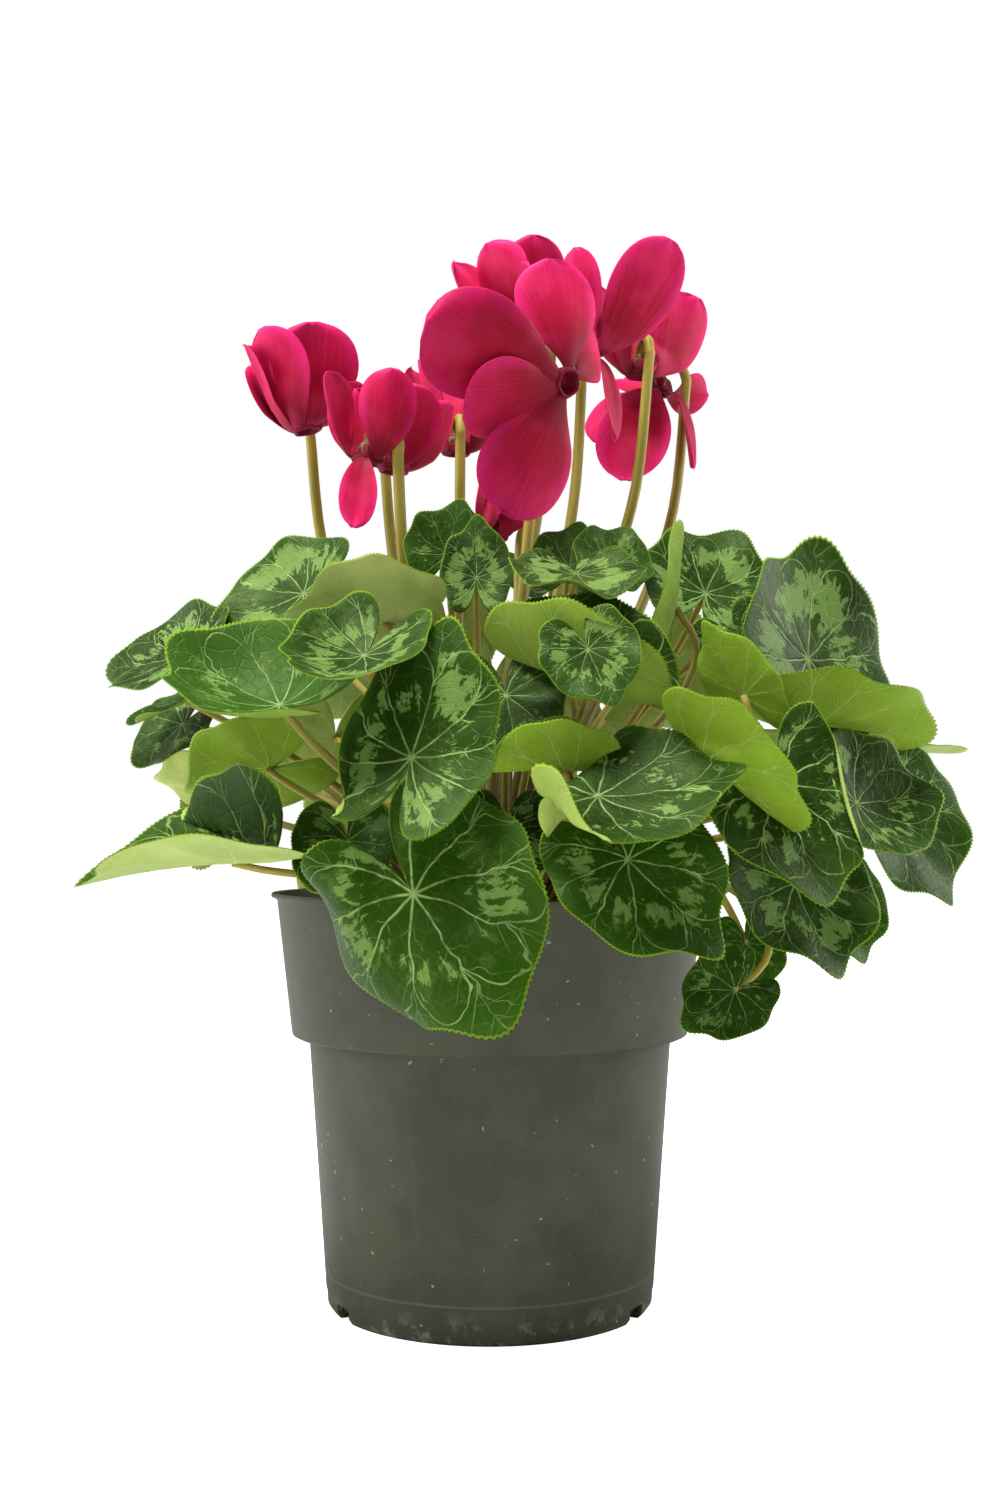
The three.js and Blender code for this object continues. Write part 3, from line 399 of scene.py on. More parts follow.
def spread_roots(targets):
    """Root of each stalk on the plan of the corm, as complex numbers.

    A root starts on the side of what its stalk carries, further out the lower that is; near
    neighbours then push each other apart round after round, within the limit."""
    roots = []
    for x, y, z in targets:
        level = abs(complex(x, y))
        low = np.arctan2(level, z - CORM_MIDDLE - CORM_RISE) / np.radians(85)
        roots.append(complex(x, y) / level * ROOT_LIMIT * min(low, 1))
    for _ in range(ROOT_ROUNDS):
        for i in range(len(roots)):
            for j in range(i):
                apart = roots[i] - roots[j]
                short = ROOT_SPACING - abs(apart)
                if short > 0:
                    push = apart / abs(apart) * short / 2
                    roots[i] += push
                    roots[j] -= push
        roots = [root * min(1, ROOT_LIMIT / abs(root)) for root in roots]
    return roots


def stalk_path(root, end, arrival, reach, steps):
    """Path from inside the corm, out square to its skin and on a Bezier curve to the end."""
    start = np.array([root.real, root.imag, CORM_MIDDLE + corm_height(root.real, root.imag)])
    scales = np.array([CORM_RADIUS, CORM_RADIUS, CORM_RISE])
    outward = unit((start - (0, 0, CORM_MIDDLE)) / scales**2)
    length = np.linalg.norm(end - start)
    corners = [start, start + outward * length * reach[0], end + arrival * length * reach[1], end]
    return np.concatenate([[start - outward * ROOT_DEPTH], bezier(corners, steps)])


# Leaves

def outline_reach(theta):
    """Heart-shaped outline: reach at an angle from the tip, a slow wave with a point at the tip and
    a deep notch at the junction, in shares of the leaf's size."""
    away = np.abs(theta)
    heart = 0.76 + 0.06 * np.cos(away) + 0.02 * np.cos(2 * away) + 0.02 * np.cos(8 * away)
    heart += 0.14 * np.exp(-(away / 0.24)**2)
    return heart * (1 - 0.9 * np.exp(-((np.pi - away) / 0.26)**2))


def blade_surface(form, x, y):
    """Middle surface of a blade over its plan: cup and fold, lifted lobes, drooping tip, waves that
    grow with the cube of the reach, swellings between the veins, then its rolls, each of which
    bends what lies past a line round a cylinder."""
    cup, fold, lobes, droop = form.form
    waves, depth, start = form.wave
    reach = np.hypot(x, y)
    theta = np.arctan2(x, y)
    z = cup * reach**2 + fold * (np.sqrt(x * x + 0.01) - 0.1)
    z += lobes * np.minimum(y, 0)**2 - droop * np.maximum(y, 0)**2
    z += 2 * depth * reach**3 * np.sin(waves * theta + start)
    step = np.radians(VEIN_STEP)
    z += QUILT * np.sin(np.pi * theta / step)**2 * reach * (1 - 0.6 * reach)
    for toward, offset, radius, angle in form.rolls:
        nx, ny = np.sin(np.radians(toward)), np.cos(np.radians(toward))
        past = np.maximum(x * nx + y * ny - offset, 0)
        sign = np.sign(angle)
        turn = np.minimum(past / radius, np.radians(abs(angle)))
        rest = past - radius * turn
        lift = z * sign
        along = radius * np.sin(turn) + rest * np.cos(turn) - lift * np.sin(turn)
        x, y = x + nx * (along - past), y + ny * (along - past)
        z = sign * (radius * (1 - np.cos(turn)) + rest * np.sin(turn) + lift * np.cos(turn))
    return form.at + form.size * spread((x, y, z), *form.axes)


def leaf_axes(face, tip):
    """Directions across the blade, to its tip and out of its upper side."""
    azimuth, elevation = face
    normal = facing(azimuth, elevation)
    downhill = facing(azimuth, elevation - 90)
    turn = np.radians(tip)
    to_tip = np.cos(turn) * downhill + np.sin(turn) * facing(azimuth + 90, 0)
    return np.cross(to_tip, normal), to_tip, normal


def blade(form):
    """Closed blade: rings of the toothed outline at rising shares of its reach over the upper side,
    round the rim, and back under it, each set off from the middle surface by half a thickness
    that falls to nothing at the rim."""
    form.axes = leaf_axes(form.face, form.tip)
    columns = SMALL_BLADE_COLUMNS if form.size < SMALL_LEAF else BLADE_COLUMNS
    theta = even_angles(columns) - np.pi
    starts = draws.uniform(0, 2 * np.pi, len(RIPPLES))
    ripple = RIPPLE_DEPTH * sum(np.sin(count * theta + first) for count, first in zip(RIPPLES, starts))
    teeth = TOOTH_DEPTH * (np.arange(columns) % 2)
    shares = np.concatenate([UPPER_RINGS, [1], UNDER_RINGS])[:, None]
    side = np.where(np.arange(len(shares)) <= len(UPPER_RINGS), 1.0, -1.0)[:, None]
    half = BLADE_HALF * np.sqrt(np.maximum(1 - shares**14, 0)) * side
    ragged = 1 + ripple * shares**3 - teeth * shares**24
    reach = shares * ragged * outline_reach(theta)
    x = reach * np.sin(theta) * form.breadth
    y = reach * np.cos(theta)
    middle = blade_surface(form, x, y)
    along_x = blade_surface(form, x + NEAR, y) - blade_surface(form, x - NEAR, y)
    along_y = blade_surface(form, x, y + NEAR) - blade_surface(form, x, y - NEAR)
    normal = unit(np.cross(along_x, along_y))
    rings = middle + half[..., None] * normal
    rise = form.axes[2] * BLADE_HALF
    plan = stacked(x, y, shares)
    marks = stacked(side * 0.5 + 0.5, draws.uniform(0, SEEDS), 0)
    return shell(rings, form.at + rise, form.at - rise, plan=plan, tone=TONES[form.tone], marks=marks)


def leaf_stalk(form, root):
    """Stalk of one leaf, up to the underside of its junction, thinner towards the blade."""
    _, to_tip, normal = leaf_axes(form.face, form.tip)
    under, behind = form.arrive
    end = form.at - LEAF_STALK_GAP * normal
    path = smoothed(stalk_path(root, end, unit(-under * normal - behind * to_tip), form.reach, 8), 3)
    radii = LEAF_STALK_RADIUS * np.linspace(1, LEAF_STALK_TAPER, len(path))
    return tube(path, radii, draws.uniform(0, SEEDS), LEAF_STALK_RIPENESS)


# Flowers

def flower_axes(form):
    """Directions towards the stalk's side, square to it, and up the flower's axis."""
    up = facing(form.lean[0], 90 - form.lean[1])
    aside = facing(form.side, 0)
    aside = unit(aside - up * (aside @ up))
    return aside, np.cross(up, aside), up


def petal_width(u):
    """Width along a petal: a sine swell to the widest point and a rounded end."""
    swell = 0.14 + 0.86 * np.sin(np.pi / 2 * np.minimum(u / WIDEST, 1))**1.2
    end = np.maximum(u - WIDEST, 0) / (1 - WIDEST)
    return swell * np.sqrt(np.maximum(1 - end**2.4, 0))


def petal_surface(form, petal, ripple, u, v):
    """Middle surface of a petal, u along and v across from -1 to 1: its line bends from the base's
    opening to the tip's by a quick exponential, its cross line is twisted about it and hollowed, and
    the free end is rippled."""
    azimuth, base, tip, twist, length, width = petal
    aside, back, up = form.axes
    samples = (np.arange(BEND_SAMPLES) + 0.5) / BEND_SAMPLES * u[..., None]
    angles = np.radians(tip + (base - tip) * np.exp(-samples / PETAL_BEND))
    out = THROAT_RADIUS - 1.2 + length * u * np.sin(angles).mean(-1)
    high = 0.8 + length * u * np.cos(angles).mean(-1)
    turn = np.radians(azimuth)
    radial = np.cos(turn) * aside + np.sin(turn) * back
    around = -np.sin(turn) * aside + np.cos(turn) * back
    angle = np.radians(tip + (base - tip) * np.exp(-u / PETAL_BEND))
    outward = spread((np.cos(angle), -np.sin(angle)), radial, up)
    spin = (np.radians(twist) * np.minimum(u * 3, 1))[..., None]
    sideways = around * np.cos(spin) + outward * np.sin(spin)
    front = outward * np.cos(spin) - around * np.sin(spin)
    half = width / 2 * petal_width(u)
    hollow = -PETAL_HOLLOW * half * v * v
    hollow += 1.4 * u**2 * v * np.sin(5 * u + ripple) + 0.9 * u**3 * v * v * np.sin(4 * v + 2 * ripple)
    hollow += 0.3 * u * np.cos(6 * v + 3 * u + ripple)
    return (form.at + spread((out, high), radial, up)
            + (half * v)[..., None] * sideways + hollow[..., None] * front)


def petal(form, shape):
    """Closed petal: a flat ring with rounded edges carried along it, v the cosine and the offset the
    sine of one angle, drawn in to a point at the free end."""
    ripple = draws.uniform(0, 2 * np.pi)
    u = np.linspace(0, 0.992, PETAL_RINGS)[:, None] + np.zeros(PETAL_COLUMNS)
    angle = even_angles(PETAL_COLUMNS) + np.zeros_like(u)
    v = np.cos(angle)

    def surface(u, v):
        return petal_surface(form, shape, ripple, u, v)

    along_u = surface(u + NEAR / 2, v) - surface(np.maximum(u - NEAR / 2, 0), v)
    along_v = surface(u, v + NEAR) - surface(u, v - NEAR)
    normal = unit(np.cross(along_v, along_u))
    offset = PETAL_HALF * np.sign(np.sin(angle)) * np.abs(np.sin(angle))**0.6
    rings = surface(u, v) + offset[..., None] * normal
    seed = draws.uniform(0, SEEDS)
    grain = stacked(u, np.abs(v), seed)
    rays = stacked(2 * u, 22 * v * petal_width(u) / (u + 0.25), seed)
    end = rings[-1].mean(0) + unit(rings[-1].mean(0) - rings[-2].mean(0)) * 0.3
    return shell(rings, rings[0].mean(0), end, grain=grain, rays=rays)


def throat(form):
    """Corolla tube: a turned wall with five soft lobes, open downwards."""
    aside, back, up = form.axes
    profile = np.array([
        (1.6, 4.5), (2.6, 3.6), (3.2, 2), (3.5, 0.6), (3.9, 0.05), (4.5, -0.05), (4.9, 0.5), (4.9, 1.4),
        (4.5, 3), (4.0, 4.6), (3.3, 5.6), (1.8, 6)])
    rings = turned_rings(profile, THROAT_COLUMNS)
    turn = even_angles(THROAT_COLUMNS)
    lobed = 1 + 0.05 * np.cos(5 * turn)
    x, y, z = rings[..., 0] * lobed, rings[..., 1] * lobed, rings[..., 2]
    rings = form.at + spread((x, y, z), aside, back, up)
    rays = stacked(profile[:, 1:], 4 * np.cos(turn), 4 * np.sin(turn))
    return shell(rings, form.at + 4.7 * up, form.at + THROAT_DEPTH * up, grain=(-0.2, 0, 0), rays=rays)


def calyx(form):
    """Five sepals: a thin cap over the throat whose rim reaches down furthest at five points."""
    aside, back, up = form.axes
    turn = even_angles(CALYX_COLUMNS)
    point = np.abs(np.cos(2.5 * turn))**0.7
    share = np.array([0.2, 0.5, 0.8, 1.0])[:, None]
    radius = 1 + 3.9 * (share * (0.62 + 0.38 * point))**0.7
    height = 6.9 - 5.2 * (share * (0.5 + 0.5 * point))**1.6
    outer = stacked(radius * np.sin(turn), -radius * np.cos(turn), height)
    inner = outer * (0.9, 0.9, 1) - (0, 0, 0.35)
    x, y, z = np.moveaxis(np.concatenate([outer, inner[::-1]]), -1, 0)
    rings = form.at + spread((x, y, z), aside, back, up)
    run = stacked(1.1, turn, z)
    return shell(rings, form.at + 7 * up, form.at + 6.4 * up, run=run)


def flower_stalk(form, root):
    """Stalk of one flower with the hook that turns over into the calyx."""
    aside, _, up = form.axes

    def place(out, high):
        return form.at + out * aside + high * up

    seat = place(0, THROAT_DEPTH + SEAT_GAP)
    if form.arrive is not None:
        path = stalk_path(root, place(0, 14), np.array(form.arrive), (0.5, 0.2), 6)
        hook = [place(0, 9.5), seat]
    else:
        path = stalk_path(root, place(9.5, 1), np.array([0, 0, -1]), (0.35, 0.4), 5)
        hook = [place(9.2, 7), place(6.5, 11.5), place(2.5, 11.8), place(0, 9.5), seat]
    path = smoothed(np.concatenate([path, hook]), 5)
    share = np.linspace(0, 1, len(path))
    radii = FLOWER_STALK_RADIUS * (1 - 0.12 * share + 0.35 * np.maximum(share - 0.97, 0) / 0.03)
    return tube(path, radii, draws.uniform(0, SEEDS))


# Pot, soil and corm

def make_pot(material):
    """Pot: a turned profile with the three foot slots cut out of it and its edges rounded."""
    base, body, foot, band = BASE_RADIUS, BODY_TOP_RADIUS, BAND_FOOT_RADIUS, BAND_TOP_RADIUS
    step, top = BAND_FOOT_HEIGHT, POT_HEIGHT
    profile = [
        (6, 0.4), (base - 6, 0.4), (base - 5.4, 0), (base - 1.2, 0), (base, 1.6), (base + 0.25, 5.5),
        (base + 0.55, 6), (body, step - 1), (body + 0.8, step - 0.6), (foot - 1.6, step - 0.6),
        (foot - 0.3, step), (foot, step + 1.2), (band, top - 2.6), (band + 0.5, top - 1.8),
        (LIP_RADIUS - 0.2, top - 1.3), (LIP_RADIUS, top - 0.6), (LIP_RADIUS - 0.4, top),
        (band - 0.4, top - 0.2), (band - POT_WALL, top - 2), (foot - POT_WALL, step + 1.2),
        (body - POT_WALL, step), (base - POT_WALL, POT_FLOOR), (6, POT_FLOOR)]
    walls = shell(turned_rings(profile, POT_COLUMNS), (0, 0, 0.4), (0, 0, POT_FLOOR))
    pot = piece("pot_moulded", [walls], material, "pot", "pot")
    slots = []
    for azimuth in SLOT_AZIMUTHS:
        out, across = facing(azimuth, 0), facing(azimuth + 90, 0)
        corners = [(base - 9, -1), (base + 3, -1), (base + 3, 1), (base - 9, 1)]
        plan = np.array([a * out + b * across * SLOT_WIDTH / 2 for a, b in corners])
        rings = np.stack([plan - (0, 0, SLOT_HEIGHT), plan + (0, 0, SLOT_HEIGHT)])
        slots.append(shell(rings, rings[0].mean(0), rings[1].mean(0)))
    cutter = piece("slot_cutter", slots, material, "pot")
    cut = pot.modifiers.new("slots", "BOOLEAN")
    cut.object = cutter
    cut.solver = "EXACT"
    finished = bpy.data.meshes.new_from_object(pot.evaluated_get(bpy.context.evaluated_depsgraph_get()))
    pot.modifiers.clear()
    pot.data = finished
    bpy.data.objects.remove(cutter)
    edges = pot.modifiers.new("edges", "BEVEL")
    edges.width = POT_EDGE * MM
    edges.segments = 2
    edges.limit_method = "ANGLE"
    edges.angle_limit = np.radians(BEVEL_ANGLE)
    pot.data.set_sharp_from_angle(angle=np.radians(SHARP_ANGLE))


def lump(middle, size, turn):
    """Small crumb: a sphere of few faces, its radius varied by two sines."""
    angle = even_angles(8)
    polar = np.radians([40, 75, 110, 145])[:, None]
    radius = size * (1 + 0.25 * np.sin(2 * angle + turn) * np.sin(3 * polar + turn))
    x, y = radius * np.sin(polar) * np.cos(angle), radius * np.sin(polar) * np.sin(angle)
    rings = middle + stacked(x, y, radius * np.cos(polar) * 0.8)
    return shell(rings, middle + (0, 0, size * 0.8), middle - (0, 0, size * 0.8))


def make_soil(material):
    """Potting soil: a filled pot shape whose top is a polar grid lifted by a few hundred round
    crumbs, each a bell of its own place, width and height, with loose crumbs on it."""
    inset = POT_WALL + SEAT_GAP
    floor = POT_FLOOR + SEAT_GAP
    body, band = BODY_TOP_RADIUS - inset, BAND_FOOT_RADIUS - inset
    step = BAND_FOOT_HEIGHT + 1.2
    lean = (BAND_TOP_RADIUS - BAND_FOOT_RADIUS) / (POT_HEIGHT - 3 - step)
    edge = band + lean * (SOIL_TOP - step)
    sides = [(20, floor), (BASE_RADIUS - inset, floor), (body, BAND_FOOT_HEIGHT + 0.8),
             (body, step + SEAT_GAP), (band, step + SEAT_GAP), (edge, SOIL_TOP - 1.5)]
    level = [(radius, SOIL_TOP) for radius in np.linspace(edge - 0.5, 4, SOIL_RINGS)]
    rings = turned_rings(sides + level, SOIL_COLUMNS)
    surface = rings[len(sides):]
    for width, count, height in CRUMBS:
        centres = draws.uniform(-SOIL_SPAN, SOIL_SPAN, (count, 2))
        apart = ((surface[:, :, None, :2] - centres)**2).sum(-1)
        bells = height * np.exp(-apart / width**2) * draws.uniform(-0.3, 1, count)
        surface[:, :, 2] += bells.sum(-1)
    turns = draws.uniform(0, 360, LOOSE_CRUMBS)
    shares = draws.uniform(0, 1, LOOSE_CRUMBS)
    sizes = draws.uniform(0.6, 1.7, LOOSE_CRUMBS)
    crumbs = [lump(facing(turn, 0) * (34 + 27 * share) + (0, 0, SOIL_TOP + 1), size, turn)
              for turn, share, size in zip(turns, shares, sizes)]
    ground = shell(rings, (0, 0, floor), (0, 0, SOIL_TOP))
    piece("soil_crumbs", [ground, *crumbs], material, "soil", "soil")


def make_corm(material):
    """Corm: an ellipsoid, deeper below than above, with its radius roughened by sines of both angles."""
    polar = np.linspace(0.06, np.pi - 0.06, CORM_RINGS)[:, None]
    turn = even_angles(CORM_COLUMNS)
    rough = CORM_SKIN + 0.012 * np.sin(9 * turn + 3 * polar) + 0.01 * np.sin(23 * turn - 14 * polar)
    height = np.where(polar < np.pi / 2, CORM_RISE, CORM_DEPTH) * np.cos(polar) * rough
    x, y = CORM_RADIUS * np.sin(polar) * rough * np.array([np.sin(turn), -np.cos(turn)])[:, None]
    rings = stacked(x, y, CORM_MIDDLE + height)
    top = (0, 0, CORM_MIDDLE + CORM_RISE * CORM_SKIN)
    foot = (0, 0, CORM_MIDDLE - CORM_DEPTH * CORM_SKIN)
    piece("corm_skin", [shell(rings, top, foot)], material, "corm", "corm")


# Finishes

def colour(code):
    """Linear colour of a six-digit code, by the sRGB curve."""
    shares = np.array([int(code[i:i + 2], 16) / 255 for i in (0, 2, 4)])
    linear = np.where(shares <= 0.04045, shares / 12.92, ((shares + 0.055) / 1.055)**2.4)
    return (*linear, 1)


def node(tree, kind, inputs=None, **settings):
    """A shader node with its settings, each input either linked or given its value."""
    made = tree.nodes.new("ShaderNode" + kind)
    for key, value in settings.items():
        setattr(made, key, value)
    for key, value in (inputs or {}).items():
        if isinstance(value, bpy.types.NodeSocket):
            tree.links.new(value, made.inputs[key])
        else:
            made.inputs[key].default_value = value
    return made


def tree_of(*values):
    """The node tree of the first socket among the values."""
    return next(value.id_data for value in values if isinstance(value, bpy.types.NodeSocket))


def maths(operation, *values):
    """Output of one Math node."""
    return node(tree_of(*values), "Math", dict(enumerate(values)), operation=operation).outputs[0]


def times(first, second):
    """First times second."""
    return maths("MULTIPLY", first, second)


def times_plus(first, second, third):
    """First times second, plus third."""
    return maths("MULTIPLY_ADD", first, second, third)


def mask(value, low, high):
    """0 below low to 1 above high, with a smooth step; high may be the smaller."""
    if low > high:
        return maths("SUBTRACT", 1.0, mask(value, high, low))
    inputs = {"Value": value, "From Min": low, "From Max": high}
    smooth = node(value.id_data, "MapRange", inputs, interpolation_type="SMOOTHSTEP")
    return smooth.outputs["Result"]


def mixed(share, first, second):
    """Two colours mixed by a share; a Mix node's colours are its inputs 6 and 7 and its output 2."""
    return node(share.id_data, "Mix", {0: share, 6: first, 7: second}, data_type="RGBA").outputs[2]


def tinted(base, where, strength, code):
    """A colour laid over the base where a mask says, at the given strength."""
    return mixed(times(where, strength), base, colour(code))


def noise(vector, scale, detail=3.0, rough=0.55, distortion=0.0):
    """Noise between 0 and 1."""
    inputs = {"Vector": vector, "Scale": scale, "Detail": detail, "Roughness": rough,
              "Distortion": distortion}
    return node(vector.id_data, "TexNoise", inputs).outputs["Fac"]


def parts(vector):
    """The three numbers of a vector."""
    return node(vector.id_data, "SeparateXYZ", {0: vector}).outputs


def joined(x, y, z):
    """A vector of three numbers."""
    return node(tree_of(x, y, z), "CombineXYZ", {0: x, 1: y, 2: z}).outputs[0]


def attribute(tree, name):
    """A mesh attribute as a vector."""
    return node(tree, "Attribute", attribute_name=name).outputs["Vector"]


def group(name, inputs, outputs):
    """An empty node group with named sockets, and its input and output nodes."""
    tree = bpy.data.node_groups.new(name, "ShaderNodeTree")
    for way, sockets in (("INPUT", inputs), ("OUTPUT", outputs)):
        for socket, kind in sockets.items():
            tree.interface.new_socket(socket, in_out=way, socket_type="NodeSocket" + kind)
    return tree, tree.nodes.new("NodeGroupInput"), tree.nodes.new("NodeGroupOutput")


def placed(tree, shared, inputs):
    """Outputs of a node group placed in a material."""
    return node(tree, "Group", inputs, node_tree=shared).outputs


def vein_group():
    """Veins over a blade's plan. Main ones leave the junction at even angles, curl towards the tip and
    fork past the middle, and their branches arch over to the neighbours'; fainter chevrons and a fine
    net lie between. Between runs from 0 on a main vein to 1 in the middle of a sector, Chance is a
    random number for each sector, and Polar is the curled angle and the reach."""
    tree, given, result = group("leaf veins", {"Plan": "Vector", "Seed": "Float"}, {
        "Veins": "Float", "Net": "Float", "Between": "Float", "Chance": "Float", "Polar": "Vector"})
    x, y, _ = parts(given.outputs["Plan"])
    seed = given.outputs["Seed"]
    flat = joined(x, y, seed)
    sway = maths("SUBTRACT", noise(flat, 4.0, 2.0), 0.5)
    reach = node(tree, "VectorMath", {0: joined(x, y, 0.0)}, operation="LENGTH").outputs["Value"]
    curl = times_plus(reach, 0.22, 1.0)
    turn = times(maths("ARCTAN2", x, y), curl)
    turn = times_plus(sway, 0.3, turn)
    sector = float(np.radians(VEIN_STEP))
    apart = maths("PINGPONG", turn, sector / 2)
    between = maths("DIVIDE", apart, sector / 2)
    number = maths("FLOOR", maths("DIVIDE", turn, sector))
    chance = node(tree, "TexWhiteNoise", {"Vector": joined(number, seed, 0.0)}).outputs["Value"]
    off = times(reach, maths("SINE", apart))
    along = times(reach, maths("COSINE", apart))
    width = times_plus(reach, -0.007, 0.012)
    main = mask(maths("DIVIDE", off, width), 1.05, 0.35)
    main = times(main, times_plus(mask(reach, 0.5, 0.7), -0.5, 1.0))
    inward = maths("SUBTRACT", 1.0, between)
    arch = times_plus(times(inward, inward), -0.27, 0.79)
    arch = times_plus(sway, 0.16, arch)
    steep = times(inward, 2.4)
    steep = maths("SQRT", times_plus(steep, steep, 1.0))
    gap = maths("DIVIDE", maths("ABSOLUTE", maths("SUBTRACT", reach, arch)), steep)
    branch = mask(gap, 0.0085, 0.003)
    slant = times_plus(off, -0.9, along)
    slant = times_plus(sway, 0.3, slant)
    side = mask(maths("PINGPONG", slant, 0.085), 0.008, 0.003)
    side = times(side, mask(between, 0.85, 0.35))
    side = times(side, mask(reach, 0.12, 0.3))
    lines = maths("MAXIMUM", main, times(branch, 0.8))
    lines = maths("MAXIMUM", lines, times(side, 0.4))
    cells = node(tree, "TexVoronoi", {"Vector": flat, "Scale": 9.0}, feature="DISTANCE_TO_EDGE")
    net = mask(cells.outputs["Distance"], 0.07, 0.015)
    polar = joined(turn, reach, seed)
    made = {"Veins": lines, "Net": net, "Between": between, "Chance": chance, "Polar": polar}
    for key, value in made.items():
        tree.links.new(value, result.inputs[key])
    return tree


def speck_group():
    """Small ragged specks: the middles of scattered cells of a bent space, in some of the cells."""
    tree, given, result = group("specks", {"Vector": "Vector", "Scale": "Float", "Size": "Float"},
                                {"Mask": "Float"})
    where = given.outputs["Vector"]
    bend = node(tree, "TexNoise", {"Vector": where, "Scale": 900.0, "Detail": 2.0}).outputs["Color"]
    bend = node(tree, "VectorMath", {0: bend, "Scale": 0.0022}, operation="SCALE").outputs["Vector"]
    bent = node(tree, "VectorMath", {0: where, 1: bend}, operation="ADD").outputs["Vector"]
    cells = node(tree, "TexVoronoi", {"Vector": bent, "Scale": given.outputs["Scale"]})
    chosen, size_share, _ = parts(cells.outputs["Color"])
    reach = times(given.outputs["Size"], size_share)
    inside = maths("LESS_THAN", cells.outputs["Distance"], reach)
    tree.links.new(times(inside, mask(chosen, 0.7, 0.8)), result.inputs["Mask"])
    return tree


def finish(name, roughness, **constants):
    """A new material, its tree and its Principled shader, with the constants set on the shader."""
    material = bpy.data.materials.new(name)
    material.use_nodes = True
    shader = material.node_tree.nodes["Principled BSDF"]
    shader.inputs["Roughness"].default_value = roughness
    for key, value in constants.items():
        shader.inputs[key.replace("_", " ")].default_value = value
    return material, material.node_tree, shader


def dress(shader, base, height, strength, distance, roughness=None):
    """Gives the shader its base colour, fine relief from a height, and a roughness where it varies."""
    tree = shader.id_data
    tree.links.new(base, shader.inputs["Base Color"])
    relief = node(tree, "Bump", {"Height": height, "Strength": strength, "Distance": distance * MM})
    tree.links.new(relief.outputs["Normal"], shader.inputs["Normal"])
    if roughness is not None:
        tree.links.new(roughness, shader.inputs["Roughness"])


def leaf_finish(veins):
    """Leaf: dark green with a grey-green haze that is partly the wax's own colour and partly painted
    sheen, pale veins, ragged silver patches in some sectors at middle reach and a yellow-green margin,
    over a smooth pale underside with faint veins. Each leaf's tone also paints light and shade: the shade
    that dull leaves lie in, and the light shining through lime undersides."""
    material, tree, shader = finish("leaf", 0.45, Specular_IOR_Level=0.16,
                                    Specular_Tint=colour("dcff9a"))
    plan = attribute(tree, "plan")
    x, y, share = parts(plan)
    upper, seed, _ = parts(attribute(tree, "marks"))
    silver, freshness_and_light, under_freshness_and_light = parts(attribute(tree, "tone"))
    lines = placed(tree, veins, {"Plan": plan, "Seed": seed})
    flat = joined(x, y, seed)
    broad = noise(flat, 2.2)
    ragged = noise(flat, 6.5, 5.0, 0.65, 0.8)
    rays = node(tree, "VectorMath", {0: lines["Polar"], 1: (9.0, 3.0, 1.0)}, operation="MULTIPLY")
    claws = noise(rays.outputs["Vector"], 1.0, 4.0, 0.65, 0.4)
    middle = times_plus(lines["Chance"], 0.16, 0.48)
    out = maths("DIVIDE", maths("SUBTRACT", share, middle), 0.22)
    inward = maths("SUBTRACT", 0.8, lines["Between"])
    far = times_plus(out, out, times(inward, inward))
    level = times_plus(lines["Chance"], 0.4, times(ragged, 1.6))
    level = times_plus(claws, 1.2, level)
    level = times_plus(silver, 0.6, level)
    level = times_plus(lines["Veins"], 0.25, level)
    level = times_plus(far, -0.3, level)
    patch = times(mask(level, 1.92, 2.0), mask(share, 0.95, 0.82))
    # Grey-green haze: partly the wax bloom's own colour, partly painted sheen
    haze = times(mask(broad, 0.32, 0.72), times(silver, 0.3))
    # Upper side from dull to fresh green by the leaf's tone; the dull end is also painted shade for the
    # inner and shaded leaves
    green = mixed(freshness_and_light, colour("0e1e02"), colour("265002"))
    green = tinted(green, mask(broad, 0.3, 0.7), 0.4, "1c3a04")
    green = mixed(haze, green, colour("4e6834"))
    green = tinted(green, lines["Net"], 0.1, "4f6c2c")
    green = tinted(green, patch, 0.62, "78984c")
    broken = times_plus(mask(ragged, 0.38, 0.62), 0.5, 0.3)
    green = tinted(green, lines["Veins"], broken, "8ea864")
    border = mask(share, 0.8, 0.97)
    green = tinted(green, border, 0.25, "35590c")
    margin = mask(share, 0.972, 0.99)
    green = tinted(green, margin, 0.65, "7ca01a")
    # Underside from pale to lime by the leaf's tone; the lime end is painted light shining through the
    # leaf
    below = mixed(under_freshness_and_light, colour("b6bf74"), colour("769814"))
    below = tinted(below, mask(broad, 0.3, 0.75), 0.5, "5c7c18")
    below = tinted(below, lines["Veins"], 0.3, "bcc88a")
    below = tinted(below, mask(share, 0.97, 0.99), 0.6, "8fb424")
    both = mixed(mask(upper, 0.35, 0.65), below, green)
    roughness = times_plus(ragged, 0.1, times_plus(upper, -0.14, 0.56))
    pores = times(noise(flat, 26.0), 0.35)
    relief = maths("SUBTRACT", pores, lines["Veins"])
    relief = times_plus(lines["Net"], -0.35, relief)
    dress(shader, both, relief, 0.6, 0.35, roughness)
    return material


